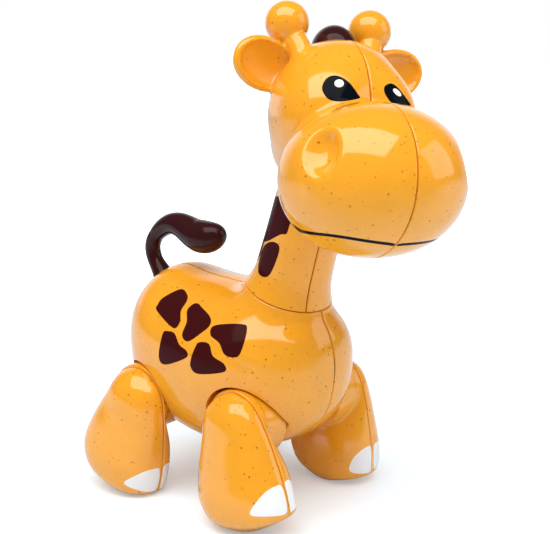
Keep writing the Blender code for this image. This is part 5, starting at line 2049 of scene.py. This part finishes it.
@dataclass
class Tail:
    """Hooked rod with a round tip, swept along its centre line."""

    rod_radius: float = 0.0024
    tip_radius: float = 0.0050
    foot_radius: float = 0.0034
    opening_radius: float = 0.0044
    foot_share: float = 0.16
    swell_shares: Pair = (0.37, 0.40)
    tip_share: float = 0.80
    swell_power: float = 1.0
    evening: int = 500
    steps: int = 140
    tip_steps: int = 24
    sides: int = 56
    stem_lean: float = math.radians(-35)
    stem_radius: float = 0.0021
    stem_length: float = 0.0044
    route: tuple[Pair, ...] = (
        (158.0, 265.4), (154.2, 256.4), (152.5, 247.2), (154.2, 238), (160.8, 229), (171, 223), (181, 224.6),
        (189.5, 230.2), (197.5, 235.4), (206.5, 237.4), (215, 235.4), (222.5, 231.2),
    )

    def stem_place(self, root: Vector) -> Matrix:
        """Frame of the stem at the tail's root, +Z out of the rump."""
        return Matrix.Translation(root) @ Matrix.Rotation(self.stem_lean, 4, "Y")

    def opening_profile(self, depth: float) -> list[Pair]:
        """Stepped opening in the rump: a round seat for the foot, and a hole for the stem.

        Args:
            depth: Half the depth of the hole.

        Returns:
            Radius and height pairs, from the bottom to the open air.
        """
        through = self.stem_radius + RUNNING_GAP
        seat = self.opening_radius
        hole = [(0, -2 * depth), (through, -2 * depth), (through, 0)]
        return hole + [(seat, 0), (seat, OVERRUN), (0, OVERRUN)]

    def rod_rule(self, nodes: NodeWriter, share: Socket, sizes: dict[str, Socket]) -> Socket:
        """Radius of the rod: a flared foot, a slow swell and a rounded tip.

        Args:
            nodes: Writer of the rod's tree.
            share: Place along the rod, from 0 to 1, or below zero on the stem.
            sizes: The rod's sizes, by name.

        Returns:
            The radius.
        """
        foot = nodes.math("SUBTRACT", 1, nodes.math("DIVIDE", share, sizes["Foot Share"]))
        foot = nodes.math("MAXIMUM", 0, foot)
        foot = nodes.math("MULTIPLY", foot, foot)
        swell = nodes.math("SUBTRACT", share, sizes["Swell Start"])
        swell = nodes.math("DIVIDE", swell, sizes["Swell Share"], clamp=True)
        swell = nodes.math("POWER", swell, sizes["Swell Power"])
        radius = nodes.between(sizes["Rod Radius"], sizes["Foot Radius"], foot)
        radius = nodes.between(radius, sizes["Tip Radius"], swell)
        past = nodes.math("SUBTRACT", share, sizes["Tip Share"])
        past = nodes.math("DIVIDE", past, nodes.math("SUBTRACT", 1, sizes["Tip Share"]), clamp=True)
        end = nodes.math("SQRT", nodes.math("SUBTRACT", 1, nodes.math("MULTIPLY", past, past)))
        radius = nodes.math("MULTIPLY", radius, end)
        return nodes.between(radius, sizes["Stem Radius"], nodes.math("LESS_THAN", share, 0))

    def build(self, finish: Material) -> Piece:
        """Builds the tail, in place.

        Args:
            finish: Its material.

        Returns:
            The tail, with its stem.
        """
        body_shares = np.linspace(0, self.tip_share, self.steps, endpoint=False)
        turns = np.linspace(0, math.pi / 2, self.tip_steps)
        shares = np.concatenate([body_shares, self.tip_share + (1 - self.tip_share) * np.sin(turns)])
        root = np.array(FRAMES.tail())
        corners = (tuple(root), *(tuple(CAMERA.on_middle(pixel)) for pixel in self.route))
        line = np.stack(read_curves(soft_curves(corners, self.evening), shares), 1)
        stem = np.array(self.stem_place(FRAMES.tail()).to_3x3() @ UP)
        on_axis = root + ((line - root) @ stem)[:, None] * stem
        away = np.clip(shares / self.foot_share, 0, 1)[:, None]
        line = on_axis + (line - on_axis) * away**2 * (3 - 2 * away)
        clear = ((line - root) @ stem > RUNNING_GAP) | (shares > self.foot_share)
        line = np.vstack([root + stem * RUNNING_GAP, line[clear]])
        shares = np.concatenate([(0.0,), shares[clear]])
        line = np.vstack([root - stem * self.stem_length, root + stem * RUNNING_GAP / 2, line])
        sizes = {
            "Rod Radius": self.rod_radius,
            "Foot Radius": self.foot_radius,
            "Foot Share": self.foot_share,
            "Swell Start": self.swell_shares[0],
            "Swell Share": self.swell_shares[1],
            "Swell Power": self.swell_power,
            "Tip Radius": self.tip_radius,
            "Tip Share": self.tip_share,
            "Stem Radius": self.stem_radius,
        }
        sweep = Sweep("hooked_rod", sizes, self.rod_rule, self.sides, 1.0)
        return sweep.run("hooked_tail", line, np.concatenate([(-1, -1), shares]), finish)

    def dress(self, piece: Piece) -> None:
        """Hands the tail over."""
        set_up(piece, "hooked_tail", "tail", "tail", BROWN)


@dataclass
class Studio:
    """Pale floor, painted darker in reflections on the camera's side, a white surround and soft window light
    from the upper left.
    """

    floor_size: float = 3.0
    floor_colour: Triple = (0.77, 0.87, 0.99)
    # Painted reflection of shade: where the floor begins to darken for glossy rays on the camera's side, and
    # by how much
    reflected_shade_edges: Pair = (0.03, 0.22)
    reflected_shade_share: float = 0.25
    floor_lift: float = 0.30
    floor_fade: Pair = (0.08, 0.34)
    world_level: float = 0.49
    room_level: float = 0.10
    room_edges: Pair = (-0.88, -0.45)
    window_size: Pair = (1.30, 0.70)
    window_power: float = 9.7
    window_spot: Triple = (-0.12, 0.72, 0.50)
    fill_size: float = 0.5
    fill_power: float = 1.0
    fill_spot: Triple = (0.80, 0.30, 0.10)
    window_tint: Triple = (1.0, 0.965, 0.88)
    fill_tint: Triple = (0.95, 0.97, 1.0)
    grain: Triple = (220.0, 3.0, 0.5)
    grain_share: float = 0.985
    floor_roughness: float = 0.8
    floor_specular: float = 0.1
    floor_tint: Triple = (0.93, 0.98, 1.0)

    def build_floor(self) -> None:
        """Builds the floor, which looks white to the camera and keeps the toy's shadow. Its colour as seen in
        reflections is painted darker on the camera's side: a painted reflection of shade.
        """
        half = self.floor_size / 2
        mesh = bpy.data.meshes.new("floor")
        corners = [(-half, -half, 0), (half, -half, 0), (half, half, 0), (-half, half, 0)]
        mesh.from_pydata(corners, [], [(0, 1, 2, 3)])
        floor = placed("floor", mesh)
        material = bpy.data.materials.new("pale_floor")
        nodes = blank_nodes(material)
        where = nodes.add("ShaderNodeTexCoord").outputs["Object"]
        pale = tuple(value * self.grain_share for value in self.floor_colour)
        colour = nodes.mix(nodes.noise(where, self.grain)[0], (*pale, 1), (*self.floor_colour, 1))
        path = nodes.add("ShaderNodeLightPath").outputs
        ahead = nodes.vector("DOT_PRODUCT", where, CAMERA.towards())["Value"]
        # Painted reflection of shade: glossy rays see the floor on the camera's side darkened towards black
        dark = nodes.band(ahead, *self.reflected_shade_edges, 0.0, 1 - self.reflected_shade_share)
        colour = nodes.mix(nodes.math("MULTIPLY", dark, path["Is Glossy Ray"]), colour, (0, 0, 0, 1))
        away = nodes.vector("LENGTH", where)["Value"]
        lift = nodes.band(away, *self.floor_fade, self.floor_lift, 1.0)
        shader = nodes.add(
            "ShaderNodeBsdfPrincipled",
            Base_Color=colour,
            Roughness=self.floor_roughness,
            Specular_IOR_Level=self.floor_specular,
            Emission_Color=(*self.floor_tint, 1),
            Emission_Strength=nodes.math("MULTIPLY", path["Is Camera Ray"], lift),
        )
        nodes.add("ShaderNodeOutputMaterial", Surface=shader.outputs["BSDF"])
        mesh.materials.append(material)

    def seen_directly(self, nodes: NodeWriter) -> Socket:
        """One for rays from the camera, and for those that gloss or glass sends on."""
        path = nodes.add("ShaderNodeLightPath").outputs
        direct = nodes.math("MAXIMUM", path["Is Camera Ray"], path["Is Glossy Ray"])
        return nodes.math("MAXIMUM", direct, path["Is Transmission Ray"])

    def build_world(self) -> None:
        """Builds the surround, white where it is seen and softer as light."""
        world = bpy.data.worlds.new("surround")
        nodes = blank_nodes(world)
        where = nodes.add("ShaderNodeTexCoord").outputs["Generated"]
        ahead = nodes.vector("DOT_PRODUCT", where, CAMERA.towards())["Value"]
        room = nodes.band(ahead, *self.room_edges, 1.0, self.room_level)
        path = nodes.add("ShaderNodeLightPath").outputs
        seen = nodes.between(self.world_level, 1.0, self.seen_directly(nodes))
        level = nodes.between(seen, room, path["Is Glossy Ray"])
        shade = nodes.add("ShaderNodeBackground", Color=(1, 1, 1, 1), Strength=level)
        nodes.add("ShaderNodeOutputWorld", Surface=shade.outputs["Background"])
        bpy.context.scene.world = world

    def build_lamp(
        self, name: str, spot: Sequence[float], size: Sequence[float], power: float, tint: Sequence[float]
    ) -> None:
        """Builds one soft lamp that shines on the toy.

        Args:
            name: Name of the lamp.
            spot: How far right, up and towards the camera it stands from the toy.
            size: Its width and height.
            power: Its power in watts.
            tint: Its colour.
        """
        data = bpy.data.lights.new(name, "AREA")
        data.shape = "RECTANGLE"
        data.size, data.size_y = size
        data.energy = power
        data.color = tint
        lamp = placed(name, data)
        aim = FRAMES.toy().translation + Vector(CAMERA.aim)
        place = aim + CAMERA.place().to_3x3() @ Vector(spot)
        turn = (aim - place).to_track_quat("-Z", "Y").to_matrix().to_4x4()
        lamp.matrix_world = Matrix.Translation(place) @ turn

    def build(self) -> None:
        """Builds the floor, the surround, the lamps and the camera."""
        self.build_floor()
        self.build_world()
        self.build_lamp("window", self.window_spot, self.window_size, self.window_power, self.window_tint)
        fill_size = (self.fill_size, self.fill_size)
        self.build_lamp("fill", self.fill_spot, fill_size, self.fill_power, self.fill_tint)
        CAMERA.build()
        bpy.context.scene.view_settings.view_transform = "Standard"


def main() -> None:
    """Builds and dresses the toy, then the studio."""
    logging.basicConfig(level=logging.INFO, format="%(message)s")
    body, neck, head, leg, tail = Body(), Neck(), Head(), Leg(), Tail()
    body.dress(body.build())
    neck.dress(neck.build(), neck.build_mane(finish_of(BROWN)))
    head.dress(head.build(), head.build_tuft())
    leg.dress_all(leg.build())
    tail.dress(tail.build(finish_of(BROWN)))
    ClickUnit().dress_inner()
    Studio().build()


if __name__ == "__main__":
    main()
